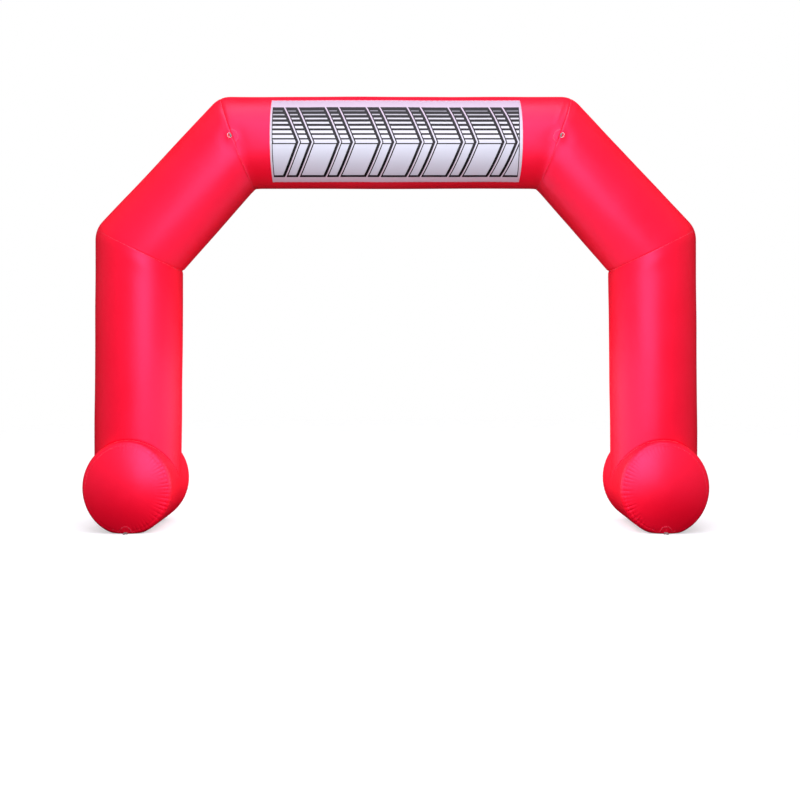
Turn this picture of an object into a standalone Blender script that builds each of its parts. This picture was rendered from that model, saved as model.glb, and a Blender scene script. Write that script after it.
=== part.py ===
"""An inflatable arch for a race line, sewn from coated cloth and held round by air.

The arch spans along X, faces -Y and stands on z = 0, midway between its feet. Its envelope is a run
of tubes: an upright leg on each side, a slope, and a level crossbeam, joined by mitred seams. Each
leg stands on a tube that lies front to back, closed by a round panel at each end. A printed banner
is sewn to the front of the crossbeam, and steel D-rings for guy ropes hang from short webbing tabs.

Lengths are in metres. An angle around a tube starts at its inner side, which faces the passage, and
goes through the front (90 degrees) and the outer side (180 degrees) to the back (270 degrees).
"""

import math
from collections import namedtuple

import bmesh
import bpy
from mathutils import Matrix, Vector

# Envelope
SIDES = 60  # flat sides that stand for one round of a tube
STEP = math.tau / SIDES
GAP = 0.0003  # clearance between pieces that touch
CLOTH = 0.0015  # thickness of a sewn-on cloth piece
SHARP_ANGLE = math.radians(30)  # edges that turn more than this are shaded sharp
INNER_RUN = 0.006  # how far a mitred seam eases into each tube on its inner side

# A mitred seam: its inner and outer edge on the middle plane, its reach to the front, and how far
# the bend eases into each tube on the outer side. x is measured out from the middle of the arch.
Seam = namedtuple("Seam", "inner_x inner_z outer_x outer_z half_depth outer_run")
CORNER = Seam(inner_x=1.406, inner_z=3.362, outer_x=1.741, outer_z=4.265, half_depth=0.4515, outer_run=0.10)
KNEE = Seam(inner_x=2.126, inner_z=2.538, outer_x=2.979, outer_z=2.950, half_depth=0.425, outer_run=0.10)
ANKLE = Seam(inner_x=2.146, inner_z=0.431, outer_x=2.992, outer_z=0.431, half_depth=0.421, outer_run=0.0)

# Foot: a lying tube, a little taller than wide, pressed flat where it rests
FOOT_X = 2.572
FOOT_Z = 0.431
FOOT_HALF_WIDTH = 0.428
FOOT_HALF_HEIGHT = 0.455
FOOT_STRAIGHT = 0.44  # from the middle of the foot to where it starts to round in
SHOULDER_RUN = 0.070  # depth and drop of the quarter round that the shoulder follows
SHOULDER_DROP = 0.080
SHOULDER_END = math.radians(60)  # how far round the shoulder goes before the ring seam
SHOULDER_RINGS = 3
END_RISE = 0.100  # how far the round end panel bulges past its ring seam
END_RING_SCALES = (1.0, 0.8, 0.55, 0.3)

# Banner, wrapped over whole flat sides of the crossbeam
BANNER_HALF_WIDTH = 1.210
BANNER_FIRST_SIDE = 4
BANNER_LAST_SIDE = 24

# Tether: half-round patch, webbing tab and D-ring
PATCH_HALF_WIDTH = 0.068
PATCH_DEPTH = 0.065
PATCH_SETBACK = 0.002  # from the seam to the patch's straight edge
PATCH_LIFT = 0.0006  # from the round of the cloth to the patch's underside
PATCH_COLUMNS = 6
PATCH_ROWS = 4
PATCH_TIP = math.radians(82)  # how far the rows follow the half round, which leaves a blunt tip
TAB_HALF_WIDTH = 0.0185
WEBBING = 0.0015
WIRE_RADIUS = 0.0025
RING_HALF_WIDTH = 0.0235  # to the middle of the wire
RING_DEPTH = 0.026
RING_CORNER = 0.0035
TAB_REACH = 0.0125  # from the seam to the middle of the ring's bar
TAB_EYE = WIRE_RADIUS + 0.0004
TAB_HEAD = TAB_EYE + WEBBING
TAB_HEAD_STEPS = 12
RING_CORNER_STEPS = 3
RING_BOW_STEPS = 10
CORNER_TAB_LIFT = math.radians(18)
CORNER_RING_LIFT = math.radians(28)
FOOT_TAB_TURN = math.radians(45)  # from straight ahead, down
FOOT_RING_TURN = math.radians(8)

# Colours are linear RGB
CLOTH_RED = (0.90, 0.012, 0.045)
BANNER_WHITE = (0.80, 0.79, 0.86)
WEBBING_GREY = (0.12, 0.10, 0.09)
STEEL = (0.62, 0.61, 0.60)


def clear_scene():
    for obj in list(bpy.data.objects):
        bpy.data.objects.remove(obj)


def material(name, colour, roughness, metallic=0.0):
    made = bpy.data.materials.new(name)
    made.use_nodes = True
    shader = made.node_tree.nodes["Principled BSDF"]
    shader.inputs["Base Color"].default_value = (*colour, 1.0)
    shader.inputs["Roughness"].default_value = roughness
    shader.inputs["Metallic"].default_value = metallic
    return made


def add_object(name, mesh, finish):
    obj = bpy.data.objects.new(name, mesh)
    obj.data.materials.append(finish)
    bpy.context.scene.collection.objects.link(obj)
    return obj


def closed_mesh(name, bm):
    """Turns a closed bmesh into a smooth-shaded mesh whose faces point outwards."""
    bmesh.ops.recalc_face_normals(bm, faces=bm.faces)
    mesh = bpy.data.meshes.new(name)
    bm.to_mesh(mesh)
    bm.free()
    mesh.shade_smooth()
    mesh.set_sharp_from_angle(angle=SHARP_ANGLE)
    return mesh


def loft(rings):
    """A closed tube through rings of points, each with as many points, with a flat face at each end."""
    bm = bmesh.new()
    rows = [[bm.verts.new(point) for point in ring] for ring in rings]
    for here, there in zip(rows, rows[1:]):
        for i in range(len(here)):
            j = (i + 1) % len(here)
            bm.faces.new((here[i], here[j], there[j], there[i]))
    bm.faces.new(rows[0])
    bm.faces.new(rows[-1])
    return bm


# Mitred tubes


def mirrored(seam):
    return seam._replace(inner_x=-seam.inner_x, outer_x=-seam.outer_x)


def seam_point(seam, angle):
    """The point of a seam's oval at an angle, before the bend is eased."""
    inner = Vector((seam.inner_x, 0, seam.inner_z))
    outer = Vector((seam.outer_x, 0, seam.outer_z))
    middle = (inner + outer) / 2
    return middle + (inner - middle) * math.cos(angle) - Vector((0, seam.half_depth, 0)) * math.sin(angle)


def seam_normal(seam):
    across = Vector((seam.outer_x - seam.inner_x, 0, seam.outer_z - seam.inner_z))
    return across.cross(Vector((0, 1, 0))).normalized()


def bend_run(seam, angle):
    """How far the bend reaches into each tube, longest on the outer side."""
    return INNER_RUN + (seam.outer_run - INNER_RUN) * (1 - math.cos(angle)) / 2


def cloth_point(seam, angle, this_end, other_end, away):
    """A point of the cloth at a distance from a seam's plane, in the tube that runs to this_end.

    The lengthwise line at that angle is straight, and turns through a short curve over the seam.
    """
    run = bend_run(seam, angle)
    normal = seam_normal(seam)
    turn = seam_point(seam, angle)
    ways = [(seam_point(end, angle) - turn).normalized() for end in (this_end, other_end)]
    if away >= run:
        return turn + ways[0] * (away / abs(ways[0].dot(normal)))
    near, far = [turn + way * (run / abs(way.dot(normal))) for way in ways]
    t = (1 - away / run) / 2
    return near * (1 - t) ** 2 + turn * 2 * t * (1 - t) + far * t**2


def bend_rings(seam, this_end, other_end):
    """Rings from the seam to the end of its bend, inside the tube that runs to this_end."""
    normal = seam_normal(seam)
    into_tube = seam_point(this_end, 0) - seam_point(seam, 0)
    if into_tube.dot(normal) < 0:
        normal = -normal
    rings = []
    for share in (0.0, 0.5, 1.0):
        ring = []
        for i in range(SIDES):
            angle = i * STEP
            ring.append(cloth_point(seam, angle, this_end, other_end, share * bend_run(seam, angle)))
        rings.append(ring)
    rings[0] = [point + normal * (GAP / 2) for point in rings[0]]
    return rings


def crossbeam(finish):
    left, right = mirrored(CORNER), CORNER
    rings = bend_rings(left, right, mirrored(KNEE))
    rings += reversed(bend_rings(right, left, KNEE))
    add_object("crossbeam", closed_mesh("crossbeam", loft(rings)), finish)


def slope(side, place, finish):
    corner, knee, ankle = place(CORNER), place(KNEE), place(ANKLE)
    rings = bend_rings(corner, knee, mirrored(corner))
    rings += reversed(bend_rings(knee, corner, ankle))
    add_object(f"slope_{side}", closed_mesh(f"slope_{side}", loft(rings)), finish)


def leg(side, place, finish, foot_cutter):
    corner, knee, ankle = place(CORNER), place(KNEE), place(ANKLE)
    rings = bend_rings(knee, ankle, corner)
    rings.append([seam_point(ankle, i * STEP) for i in range(SIDES)])
    obj = add_object(f"leg_{side}", closed_mesh(f"leg_{side}", loft(rings)), finish)
    saddle = obj.modifiers.new("saddle", "BOOLEAN")
    saddle.operation = "DIFFERENCE"
    saddle.solver = "EXACT"
    saddle.object = foot_cutter


# Feet


def foot_ring(centre_x, y, scale, grow=0.0):
    """One oval of a foot, scaled and then grown, and pressed flat where it meets the ground."""
    ring = []
    for i in range(SIDES):
        angle = i * STEP
        x = centre_x + (FOOT_HALF_WIDTH * scale + grow) * math.sin(angle)
        z = FOOT_Z - (FOOT_HALF_HEIGHT * scale + grow) * math.cos(angle)
        ring.append(Vector((x, y, max(z, 0.0))))
    return ring


def shoulder(turn):
    """Distance from the foot's middle and the oval's scale, at an angle round the shoulder."""
    y = FOOT_STRAIGHT + SHOULDER_RUN * math.sin(turn)
    scale = 1 - SHOULDER_DROP * (1 - math.cos(turn)) / FOOT_HALF_HEIGHT
    return y, scale


RING_SEAM_Y, RING_SEAM_SCALE = shoulder(SHOULDER_END)


def foot(side, sign, finish):
    turns = [SHOULDER_END * i / SHOULDER_RINGS for i in range(SHOULDER_RINGS + 1)]
    profile = [shoulder(turn) for turn in turns]
    stations = [(-y, scale) for y, scale in reversed(profile)] + profile
    rings = [foot_ring(sign * FOOT_X, y, scale) for y, scale in stations]
    add_object(f"foot_{side}", closed_mesh(f"foot_{side}", loft(rings)), finish)


def foot_cutter(side, sign, finish):
    """A hidden copy of the foot's straight part, grown by the gap, that shapes the leg's lower end."""
    rings = [foot_ring(sign * FOOT_X, y, 1.0, grow=GAP) for y in (-RING_SEAM_Y, RING_SEAM_Y)]
    cutter = add_object(f"cutter_{side}", closed_mesh(f"cutter_{side}", loft(rings)), finish)
    cutter.hide_render = True
    cutter.display_type = "WIRE"
    return cutter


def end_bulge(scale):
    """How far the end panel stands past its ring seam, from its rim (1) to its middle (0)."""
    return END_RISE * (1 - scale**2)


def foot_end(name, sign, facing, finish):
    rings = []
    for scale in END_RING_SCALES:
        y = facing * (RING_SEAM_Y + GAP + end_bulge(scale))
        rings.append(foot_ring(sign * FOOT_X, y, RING_SEAM_SCALE * scale))
    bm = loft(rings)
    bm.faces.ensure_lookup_table()
    crown = bm.faces[-1]
    middle = bmesh.ops.poke(bm, faces=[crown])["verts"][0]
    middle.co = Vector((sign * FOOT_X, facing * (RING_SEAM_Y + GAP + END_RISE), FOOT_Z))
    add_object(name, closed_mesh(name, bm), finish)


# Banner


def beam_radius():
    return (CORNER.outer_z - CORNER.inner_z) / 2


def beam_z():
    return (CORNER.outer_z + CORNER.inner_z) / 2


def banner(finish):
    """A cloth panel that lies on whole flat sides of the crossbeam's front."""
    half_side = math.cos(STEP / 2)
    under = beam_radius() + GAP / half_side
    over = under + CLOTH / half_side
    sides = range(BANNER_FIRST_SIDE, BANNER_LAST_SIDE + 1)
    outline = [(i * STEP, under) for i in sides] + [(i * STEP, over) for i in reversed(sides)]
    bm = bmesh.new()
    rows = []
    for x in (-BANNER_HALF_WIDTH, BANNER_HALF_WIDTH):
        points = [(x, -r * math.sin(a), beam_z() - r * math.cos(a)) for a, r in outline]
        rows.append([bm.verts.new(point) for point in points])
    count = len(outline)
    for i in range(count):
        j = (i + 1) % count
        bm.faces.new((rows[0][i], rows[0][j], rows[1][j], rows[1][i]))
    for row in rows:
        for i in range(count // 2 - 1):
            bm.faces.new((row[i], row[i + 1], row[count - 2 - i], row[count - 1 - i]))
    add_object("banner", closed_mesh("banner", bm), finish)


# Tethers


def half_round(name, surface, finish):
    """A half-round cloth patch on a surface.

    surface(along, away) gives a point of the cloth and its outward normal, along the seam and away
    from it.
    """
    bm = bmesh.new()
    layers = []
    for lift in (PATCH_LIFT, PATCH_LIFT + CLOTH):
        layer = []
        for row in range(PATCH_ROWS + 1):
            turn = PATCH_TIP * row / PATCH_ROWS
            away = PATCH_SETBACK + PATCH_DEPTH * math.sin(turn)
            half_width = PATCH_HALF_WIDTH * math.cos(turn)
            line = []
            for column in range(PATCH_COLUMNS + 1):
                along = half_width * (2 * column / PATCH_COLUMNS - 1)
                point, normal = surface(along, away)
                line.append(bm.verts.new(point + normal * lift))
            layer.append(line)
        layers.append(layer)
    for layer in layers:
        for here, there in zip(layer, layer[1:]):
            for i in range(PATCH_COLUMNS):
                bm.faces.new((here[i], here[i + 1], there[i + 1], there[i]))
    rims = []
    for layer in layers:
        right = [line[-1] for line in layer[1:-1]]
        left = [line[0] for line in layer[-2:0:-1]]
        rims.append(layer[0] + right + layer[-1][::-1] + left)
    for i in range(len(rims[0])):
        j = (i + 1) % len(rims[0])
        bm.faces.new((rims[0][i], rims[0][j], rims[1][j], rims[1][i]))
    add_object(name, closed_mesh(name, bm), finish)


def tab_outline():
    """The webbing from the side: two layers that part round the ring's bar. x runs to the ring."""
    neck = math.asin(WEBBING / TAB_HEAD)
    round_steps = range(TAB_HEAD_STEPS + 1)
    head = [math.pi - neck - (math.tau - 2 * neck) * i / TAB_HEAD_STEPS for i in round_steps]
    outer = [(TAB_REACH + TAB_HEAD * math.cos(a), TAB_HEAD * math.sin(a)) for a in head]
    eye = [(TAB_REACH + TAB_EYE * math.cos(a), TAB_EYE * math.sin(a)) for a in head]
    return [(0.0, WEBBING), *outer, (0.0, -WEBBING)], eye


def tab_mesh():
    """The webbing tab, as wide as its strap: the eye is a round hole along its width."""
    outer, eye = tab_outline()
    bm = bmesh.new()
    rows = []
    for y in (-TAB_HALF_WIDTH, TAB_HALF_WIDTH):
        rim = [bm.verts.new((x, y, z)) for x, z in outer]
        hole = [bm.verts.new((x, y, z)) for x, z in eye]
        rows.append((rim, hole))
        root_top, root_low = rim[0], rim[-1]
        head = rim[1:-1]
        for i in range(len(hole) - 1):
            bm.faces.new((head[i], head[i + 1], hole[i + 1], hole[i]))
        bm.faces.new((root_top, head[0], hole[0], hole[-1], head[-1], root_low))
    for kind in (0, 1):
        near, far = rows[0][kind], rows[1][kind]
        for i in range(len(near)):
            j = (i + 1) % len(near)
            bm.faces.new((near[i], near[j], far[j], far[i]))
    return closed_mesh("tab", bm)


def ring_corner(side, start):
    """A quarter round of the D on one side, from a start angle."""
    points = []
    for i in range(RING_CORNER_STEPS + 1):
        turn = start + math.pi / 2 * i / RING_CORNER_STEPS
        across = side * (RING_HALF_WIDTH - RING_CORNER) + RING_CORNER * math.cos(turn)
        points.append((across, RING_CORNER + RING_CORNER * math.sin(turn)))
    return points


def ring_path():
    """The D's middle line: a straight bar through the tab, small corners and an oval bow."""
    bow = []
    for i in range(1, RING_BOW_STEPS):
        turn = math.pi * i / RING_BOW_STEPS
        rise = (RING_DEPTH - RING_CORNER) * math.sin(turn)
        bow.append((RING_HALF_WIDTH * math.cos(turn), RING_CORNER + rise))
    return ring_corner(1, -math.pi / 2) + bow + ring_corner(-1, math.pi)


def ring_curve():
    curve = bpy.data.curves.new("ring", "CURVE")
    curve.dimensions = "3D"
    curve.bevel_depth = WIRE_RADIUS
    curve.bevel_resolution = 2
    spline = curve.splines.new("POLY")
    path = ring_path()
    spline.points.add(len(path) - 1)
    for point, (across, out) in zip(spline.points, path):
        point.co = (out, across, 0.0, 1.0)
    spline.use_cyclic_u = True
    return curve


def turned_frame(origin, forward, across):
    """A frame whose x runs forward and whose y runs across."""
    up = forward.cross(across).normalized()
    return Matrix((
        (forward.x, across.x, up.x, origin.x),
        (forward.y, across.y, up.y, origin.y),
        (forward.z, across.z, up.z, origin.z),
        (0, 0, 0, 1),
    ))


def tether(name, surface, root, across, tab_way, ring_way, meshes, finishes):
    """One tether point: root is on the seam, across runs along it, and the ways are unit vectors."""
    half_round(f"{name}_patch", surface, finishes["cloth"])
    tab = add_object(f"{name}_tab", meshes["tab"], finishes["webbing"])
    tab.matrix_world = turned_frame(root, tab_way, across)
    ring = bpy.data.objects.new(f"{name}_ring", meshes["ring"])
    bpy.context.scene.collection.objects.link(ring)
    ring.matrix_world = turned_frame(root + tab_way * TAB_REACH, ring_way, across)


def corner_tether(side, sign, place, face, facing, meshes, finishes):
    """A tether on a corner seam, its patch on the crossbeam and its ring on the slope."""
    up_seam = Vector((sign * (CORNER.outer_x - CORNER.inner_x), 0, CORNER.outer_z - CORNER.inner_z)).normalized()
    outward = Vector((0, facing, 0))
    away = Vector((sign * up_seam.z, 0, -sign * up_seam.x))
    middle = Vector((sign * (CORNER.inner_x + CORNER.outer_x) / 2, 0, beam_z()))

    def surface(along, inward):
        angle = -facing * (math.pi / 2 + along / beam_radius())
        point = cloth_point(place(CORNER), angle, place(mirrored(CORNER)), place(KNEE), inward)
        return point, Vector((0, -math.sin(angle), -math.cos(angle)))

    lift = GAP * 2 + WEBBING
    root = middle + outward * (beam_radius() + lift) + away * GAP
    tab_way = away * math.cos(CORNER_TAB_LIFT) + outward * math.sin(CORNER_TAB_LIFT)
    ring_way = away * math.cos(CORNER_RING_LIFT) + outward * math.sin(CORNER_RING_LIFT)
    tether(f"corner_{side}_{face}", surface, root, up_seam, tab_way, ring_way, meshes, finishes)


def foot_tether(side, sign, face, facing, meshes, finishes):
    """A tether under a foot's ring seam, its patch on the end panel and its ring on the ground."""
    rim = FOOT_HALF_HEIGHT * RING_SEAM_SCALE
    ahead = Vector((0, facing, 0))

    def surface(along, inward):
        turn = along / rim
        scale = 1 - inward / rim
        x = sign * FOOT_X + FOOT_HALF_WIDTH * RING_SEAM_SCALE * scale * math.sin(turn)
        z = FOOT_Z - rim * scale * math.cos(turn)
        y = facing * (RING_SEAM_Y + GAP + end_bulge(scale))
        rise = 2 * END_RISE * scale / rim
        normal = Vector((rise * math.sin(turn), facing, -rise * math.cos(turn))).normalized()
        return Vector((x, y, z)), normal

    down = Vector((0, 0, -1))
    root = Vector((sign * FOOT_X, facing * (RING_SEAM_Y + WEBBING * 2), FOOT_Z - rim))
    tab_way = ahead * math.cos(FOOT_TAB_TURN) + down * math.sin(FOOT_TAB_TURN)
    ring_way = ahead * math.cos(FOOT_RING_TURN) + down * math.sin(FOOT_RING_TURN)
    tether(f"foot_{side}_{face}", surface, root, Vector((1, 0, 0)), tab_way, ring_way, meshes, finishes)


def main():
    clear_scene()
    cloth = material("coated cloth", CLOTH_RED, 0.42)
    finishes = {
        "cloth": cloth,
        "banner": material("printed banner cloth", BANNER_WHITE, 0.55),
        "webbing": material("webbing", WEBBING_GREY, 0.85),
        "steel": material("polished steel", STEEL, 0.18, 1.0),
    }
    meshes = {"tab": tab_mesh(), "ring": ring_curve()}
    meshes["ring"].materials.append(finishes["steel"])
    crossbeam(cloth)
    banner(finishes["banner"])
    for side, sign, place in (("left", -1, mirrored), ("right", 1, lambda seam: seam)):
        slope(side, place, cloth)
        leg(side, place, cloth, foot_cutter(side, sign, cloth))
        foot(side, sign, cloth)
        for face, facing in (("front", -1), ("back", 1)):
            foot_end(f"foot_end_{side}_{face}", sign, facing, cloth)
            corner_tether(side, sign, place, face, facing, meshes, finishes)
            foot_tether(side, sign, face, facing, meshes, finishes)


main()
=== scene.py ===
# %% [markdown]
# # An inflatable race arch
#
# The real arch is one big bag of coated polyester cloth that a blower keeps full. It is sewn from
# tubes that meet in mitred seams: a level crossbeam, two slopes and two upright legs. Each leg stands
# on a tube that lies front to back, closed by round end panels gathered into a puckered seam. A
# printed banner is sewn to the front of the crossbeam, and steel D-rings for guy ropes sit in short
# webbing tabs.
#
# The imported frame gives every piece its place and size. This script makes each piece again as fine
# cloth, on the same seams, and gives it its finish. All sizes are in metres.

# %% Load the frame
import math
from collections import namedtuple

import bpy
import numpy as np
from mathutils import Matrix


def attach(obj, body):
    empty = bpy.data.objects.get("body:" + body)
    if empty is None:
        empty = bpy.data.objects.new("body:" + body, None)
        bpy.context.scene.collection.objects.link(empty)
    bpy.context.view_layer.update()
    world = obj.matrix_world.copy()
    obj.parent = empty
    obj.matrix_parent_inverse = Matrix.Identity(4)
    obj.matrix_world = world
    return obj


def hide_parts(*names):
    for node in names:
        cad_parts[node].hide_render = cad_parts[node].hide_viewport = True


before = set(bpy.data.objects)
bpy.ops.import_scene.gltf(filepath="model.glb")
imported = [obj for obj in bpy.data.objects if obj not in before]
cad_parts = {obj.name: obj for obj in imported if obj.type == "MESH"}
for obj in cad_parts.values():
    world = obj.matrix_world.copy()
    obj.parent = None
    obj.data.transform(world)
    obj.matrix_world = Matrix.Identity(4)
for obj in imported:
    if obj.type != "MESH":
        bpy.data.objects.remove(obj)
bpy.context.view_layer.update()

# %% [markdown]
# ## Colours and nodes
#
# Colours are written as sRGB hex values, as a designer would pick them from a cloth card, and one
# function turns them into the linear light that Blender works in. A second small function adds a
# node with its settings and links, so that each material below reads as a short list of steps.

# %% Turn a hex colour into linear light


def linear(hex_colour):
    parts = [int(hex_colour[i : i + 2], 16) / 255 for i in (1, 3, 5)]
    return (*[p / 12.92 if p <= 0.04045 else ((p + 0.055) / 1.055) ** 2.4 for p in parts], 1.0)


print("a mid grey, #808080, is", round(linear("#808080")[0], 3), "in linear light")

# %% Add a node with its settings and links


def node(tree, kind, stops=(), **given):
    """Adds a node. A small letter starts a setting, a capital an input, and _0 is input number 0.

    A node given as a value stands for its first output. stops are a ramp's (place, colour) pairs.
    """
    made = tree.nodes.new("ShaderNode" + kind)
    for name, value in given.items():
        if name[0].islower():
            setattr(made, name, value)
            continue
        socket = made.inputs[int(name[1:]) if name[0] == "_" else name.replace("_", " ")]
        value = value.outputs[0] if isinstance(value, bpy.types.Node) else value
        if isinstance(value, bpy.types.NodeSocket):
            tree.links.new(value, socket)
        else:
            socket.default_value = value
    if stops:
        ramp = made.color_ramp.elements
        while len(ramp) < len(stops):
            ramp.new(1.0)
        for element, (place, colour) in zip(ramp, stops):
            element.position = place
            element.color = colour
    return made


def new_finish(name):
    """An empty material and its node tree."""
    finish = bpy.data.materials.new(name)
    finish.use_nodes = True
    finish.node_tree.nodes.clear()
    return finish, finish.node_tree


print("the frame brings", len(bpy.data.materials), "plain materials, and each finish is a new one")

# %% [markdown]
# ## Coated polyester
#
# The bag is woven polyester with a coating rolled on, in a saturated red. The coating fills the weave
# and dries to a satin skin, so the eye gets broad soft highlights. The dye in the coating tints them
# pink, which the specular tint gives. The cloth never lies quite even: large soft patches reflect a
# little more or less sharply, and shallow wrinkles run under the skin. A painted texture could carry
# all this, but noise in the cloth's own space has no edges and no repeats, and needs no file.

# %% Coated polyester finish
CLOTH_RED = "#F50A29"
CLOTH_DEEP_RED = "#EE0823"
HIGHLIGHT_PINK = "#FF96F2"
COATING_IOR = 1.5
COATING_GLOSS = {"From_Min": 0.3, "From_Max": 0.7, "To_Min": 0.36, "To_Max": 0.43}  # satin
PATCHES_PER_METRE = 2.2  # a patch of even gloss is about 450 mm across
WRINKLES_PER_METRE = 9.0  # a wrinkle is about 110 mm long
WRINKLE_DEPTH = 0.0025
THREAD_PITCH = 0.0005  # from one thread to the next of the real weave
DRAWN_PITCH = 0.004  # the weave is drawn this coarse, because the real one is too fine to show
WEAVE_DEPTH = 0.0004


def weave_height(tree, pitch):
    """Plain weave over the flat cut: warp and weft threads that cross as two rows of ridges."""
    flat = node(tree, "UVMap", uv_map="cut")
    turns = node(tree, "VectorMath", operation="SCALE", _0=flat, Scale=math.tau / pitch)
    axes = node(tree, "SeparateXYZ", _0=turns)
    warp, weft = [node(tree, "Math", operation="SINE", _0=axes.outputs[k]) for k in (0, 1)]
    return node(tree, "Math", operation="MULTIPLY", _0=warp, _1=weft)


def coated_polyester():
    finish, tree = new_finish("coated polyester")
    place = node(tree, "TexCoord").outputs["Object"]
    patches = node(tree, "TexNoise", Vector=place, Scale=PATCHES_PER_METRE, Detail=3.0)
    wrinkles = node(tree, "TexNoise", Vector=place, Scale=WRINKLES_PER_METRE, Detail=4.0)
    reds = {"_6": linear(CLOTH_DEEP_RED), "_7": linear(CLOTH_RED)}
    tone = node(tree, "Mix", data_type="RGBA", _0=patches, **reds)
    gloss = node(tree, "MapRange", Value=patches, **COATING_GLOSS)
    soft = node(tree, "Bump", Strength=0.5, Distance=WRINKLE_DEPTH, Height=wrinkles)
    weave = weave_height(tree, DRAWN_PITCH)
    fine = node(tree, "Bump", Strength=0.12, Distance=WEAVE_DEPTH, Height=weave, Normal=soft)
    look = {"Base_Color": tone.outputs[2], "Roughness": gloss, "Normal": fine}
    pink = linear(HIGHLIGHT_PINK)
    skin = node(tree, "BsdfPrincipled", IOR=COATING_IOR, Specular_Tint=pink, **look)
    node(tree, "OutputMaterial", Surface=skin)
    return finish


cloth_finish = coated_polyester()
print("weave drawn", DRAWN_PITCH / THREAD_PITCH, "times as coarse as the real one")

# %% [markdown]
# ## Seams and lines of cloth
#
# A mitred seam is an oval where two tubes are cut at half the bend and sewn together. Between two
# seams each lengthwise line of a tube is straight, and it turns over a seam in a short curve, which
# is longer on the outer side of the bend, where the air pushes the cloth round. The sizes here are
# the frame's own. An angle starts at the inner side, which faces the passage, and goes through the
# front (90 degrees) and the outer side to the back. Bent cylinders could stand in for the tubes, but
# lines from seam to seam keep the true cut, and neighbours meet on the very same oval.

# %% The seams of the arch
Seam = namedtuple("Seam", "inner_x inner_z outer_x outer_z half_depth outer_run")
CORNER = Seam(1.406, 3.362, 1.741, 4.265, half_depth=0.4515, outer_run=0.10)
KNEE = Seam(2.126, 2.538, 2.979, 2.950, half_depth=0.425, outer_run=0.10)
ANKLE = Seam(2.146, 0.431, 2.992, 0.431, half_depth=0.421, outer_run=0.0)
INNER_RUN = 0.006  # how far from a seam the cloth starts to turn, on the inner side


def mirrored(seam):
    return seam._replace(inner_x=-seam.inner_x, outer_x=-seam.outer_x)


SIDES = (("left", -1, mirrored), ("right", 1, lambda seam: seam))


def unit(vectors):
    return vectors / np.linalg.norm(vectors, axis=-1, keepdims=True)


def seam_points(seam, angles):
    inner = np.array((seam.inner_x, 0, seam.inner_z))
    outer = np.array((seam.outer_x, 0, seam.outer_z))
    front = np.array((0, -seam.half_depth, 0))
    middle = (inner + outer) / 2
    return middle + np.cos(angles)[..., None] * (inner - middle) + np.sin(angles)[..., None] * front


def seam_normal(seam):
    return unit(np.cross((seam.outer_x - seam.inner_x, 0, seam.outer_z - seam.inner_z), (0, 1, 0)))


def cloth_line(seam, this_end, other_end, angles, along):
    """Points at a distance along each lengthwise line from a seam, in the tube that runs to this_end."""
    run = INNER_RUN + (seam.outer_run - INNER_RUN) * (1 - np.cos(angles)) / 2
    turn = seam_points(seam, angles)
    ways = [unit(seam_points(end, angles) - turn) for end in (this_end, other_end)]
    slants = [np.abs(way @ seam_normal(seam)) for way in ways]
    away = along * slants[0]
    straight = turn + ways[0] * along[..., None]
    near, far = [turn + way * (run / slant)[..., None] for way, slant in zip(ways, slants)]
    t = np.clip((1 - away / run) / 2, 0, 1)[..., None]
    curved = near * (1 - t) ** 2 + turn * 2 * t * (1 - t) + far * t**2
    return np.where((away >= run)[..., None], straight, curved)


print("corner seam's middle is", seam_points(CORNER, np.array([math.pi / 2])).round(3).tolist())

# %% [markdown]
# ## A sheet of cloth as a grid
#
# Every panel is a grid: columns run round the tube and rows run along it, closest together near the
# seams, where the cloth puckers. The rows start with a seam allowance, a narrow strip turned into the
# tube, so that two panels meet as sewn cloth does and no gap opens between them. A subdivided coarse
# mesh would spend as many faces on the smooth middle as on the puckers, and a grid doesn't. Each
# grid keeps its outward normals, so that patches and stitches can be laid on the finished cloth.

# %% Grids of cloth
Cloth = namedtuple("Cloth", "points normals near")  # near: the rows' distances from the seam
NEAR_ROWS = np.array((0, 3, 6, 9, 13, 18, 24, 31, 39, 48, 58, 70, 84, 100, 120, 145, 175)) / 1000
ALLOWANCE = 0.018


def outward_normals(points):
    """Unit normals of a grid that goes round, pointing away from the middle of each row."""
    across = np.roll(points, -1, axis=1) - np.roll(points, 1, axis=1)
    normals = unit(np.cross(across, np.gradient(points, axis=0)))
    out = points - points.mean(axis=1, keepdims=True)
    return normals * np.sign((normals * out).sum(axis=-1).mean())


def placed(mesh, finish):
    """An object of a mesh in the scene, smooth and with its finish."""
    mesh.materials.append(finish)
    mesh.shade_smooth()
    made = bpy.data.objects.new(mesh.name, mesh)
    bpy.context.scene.collection.objects.link(made)
    return made


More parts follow.
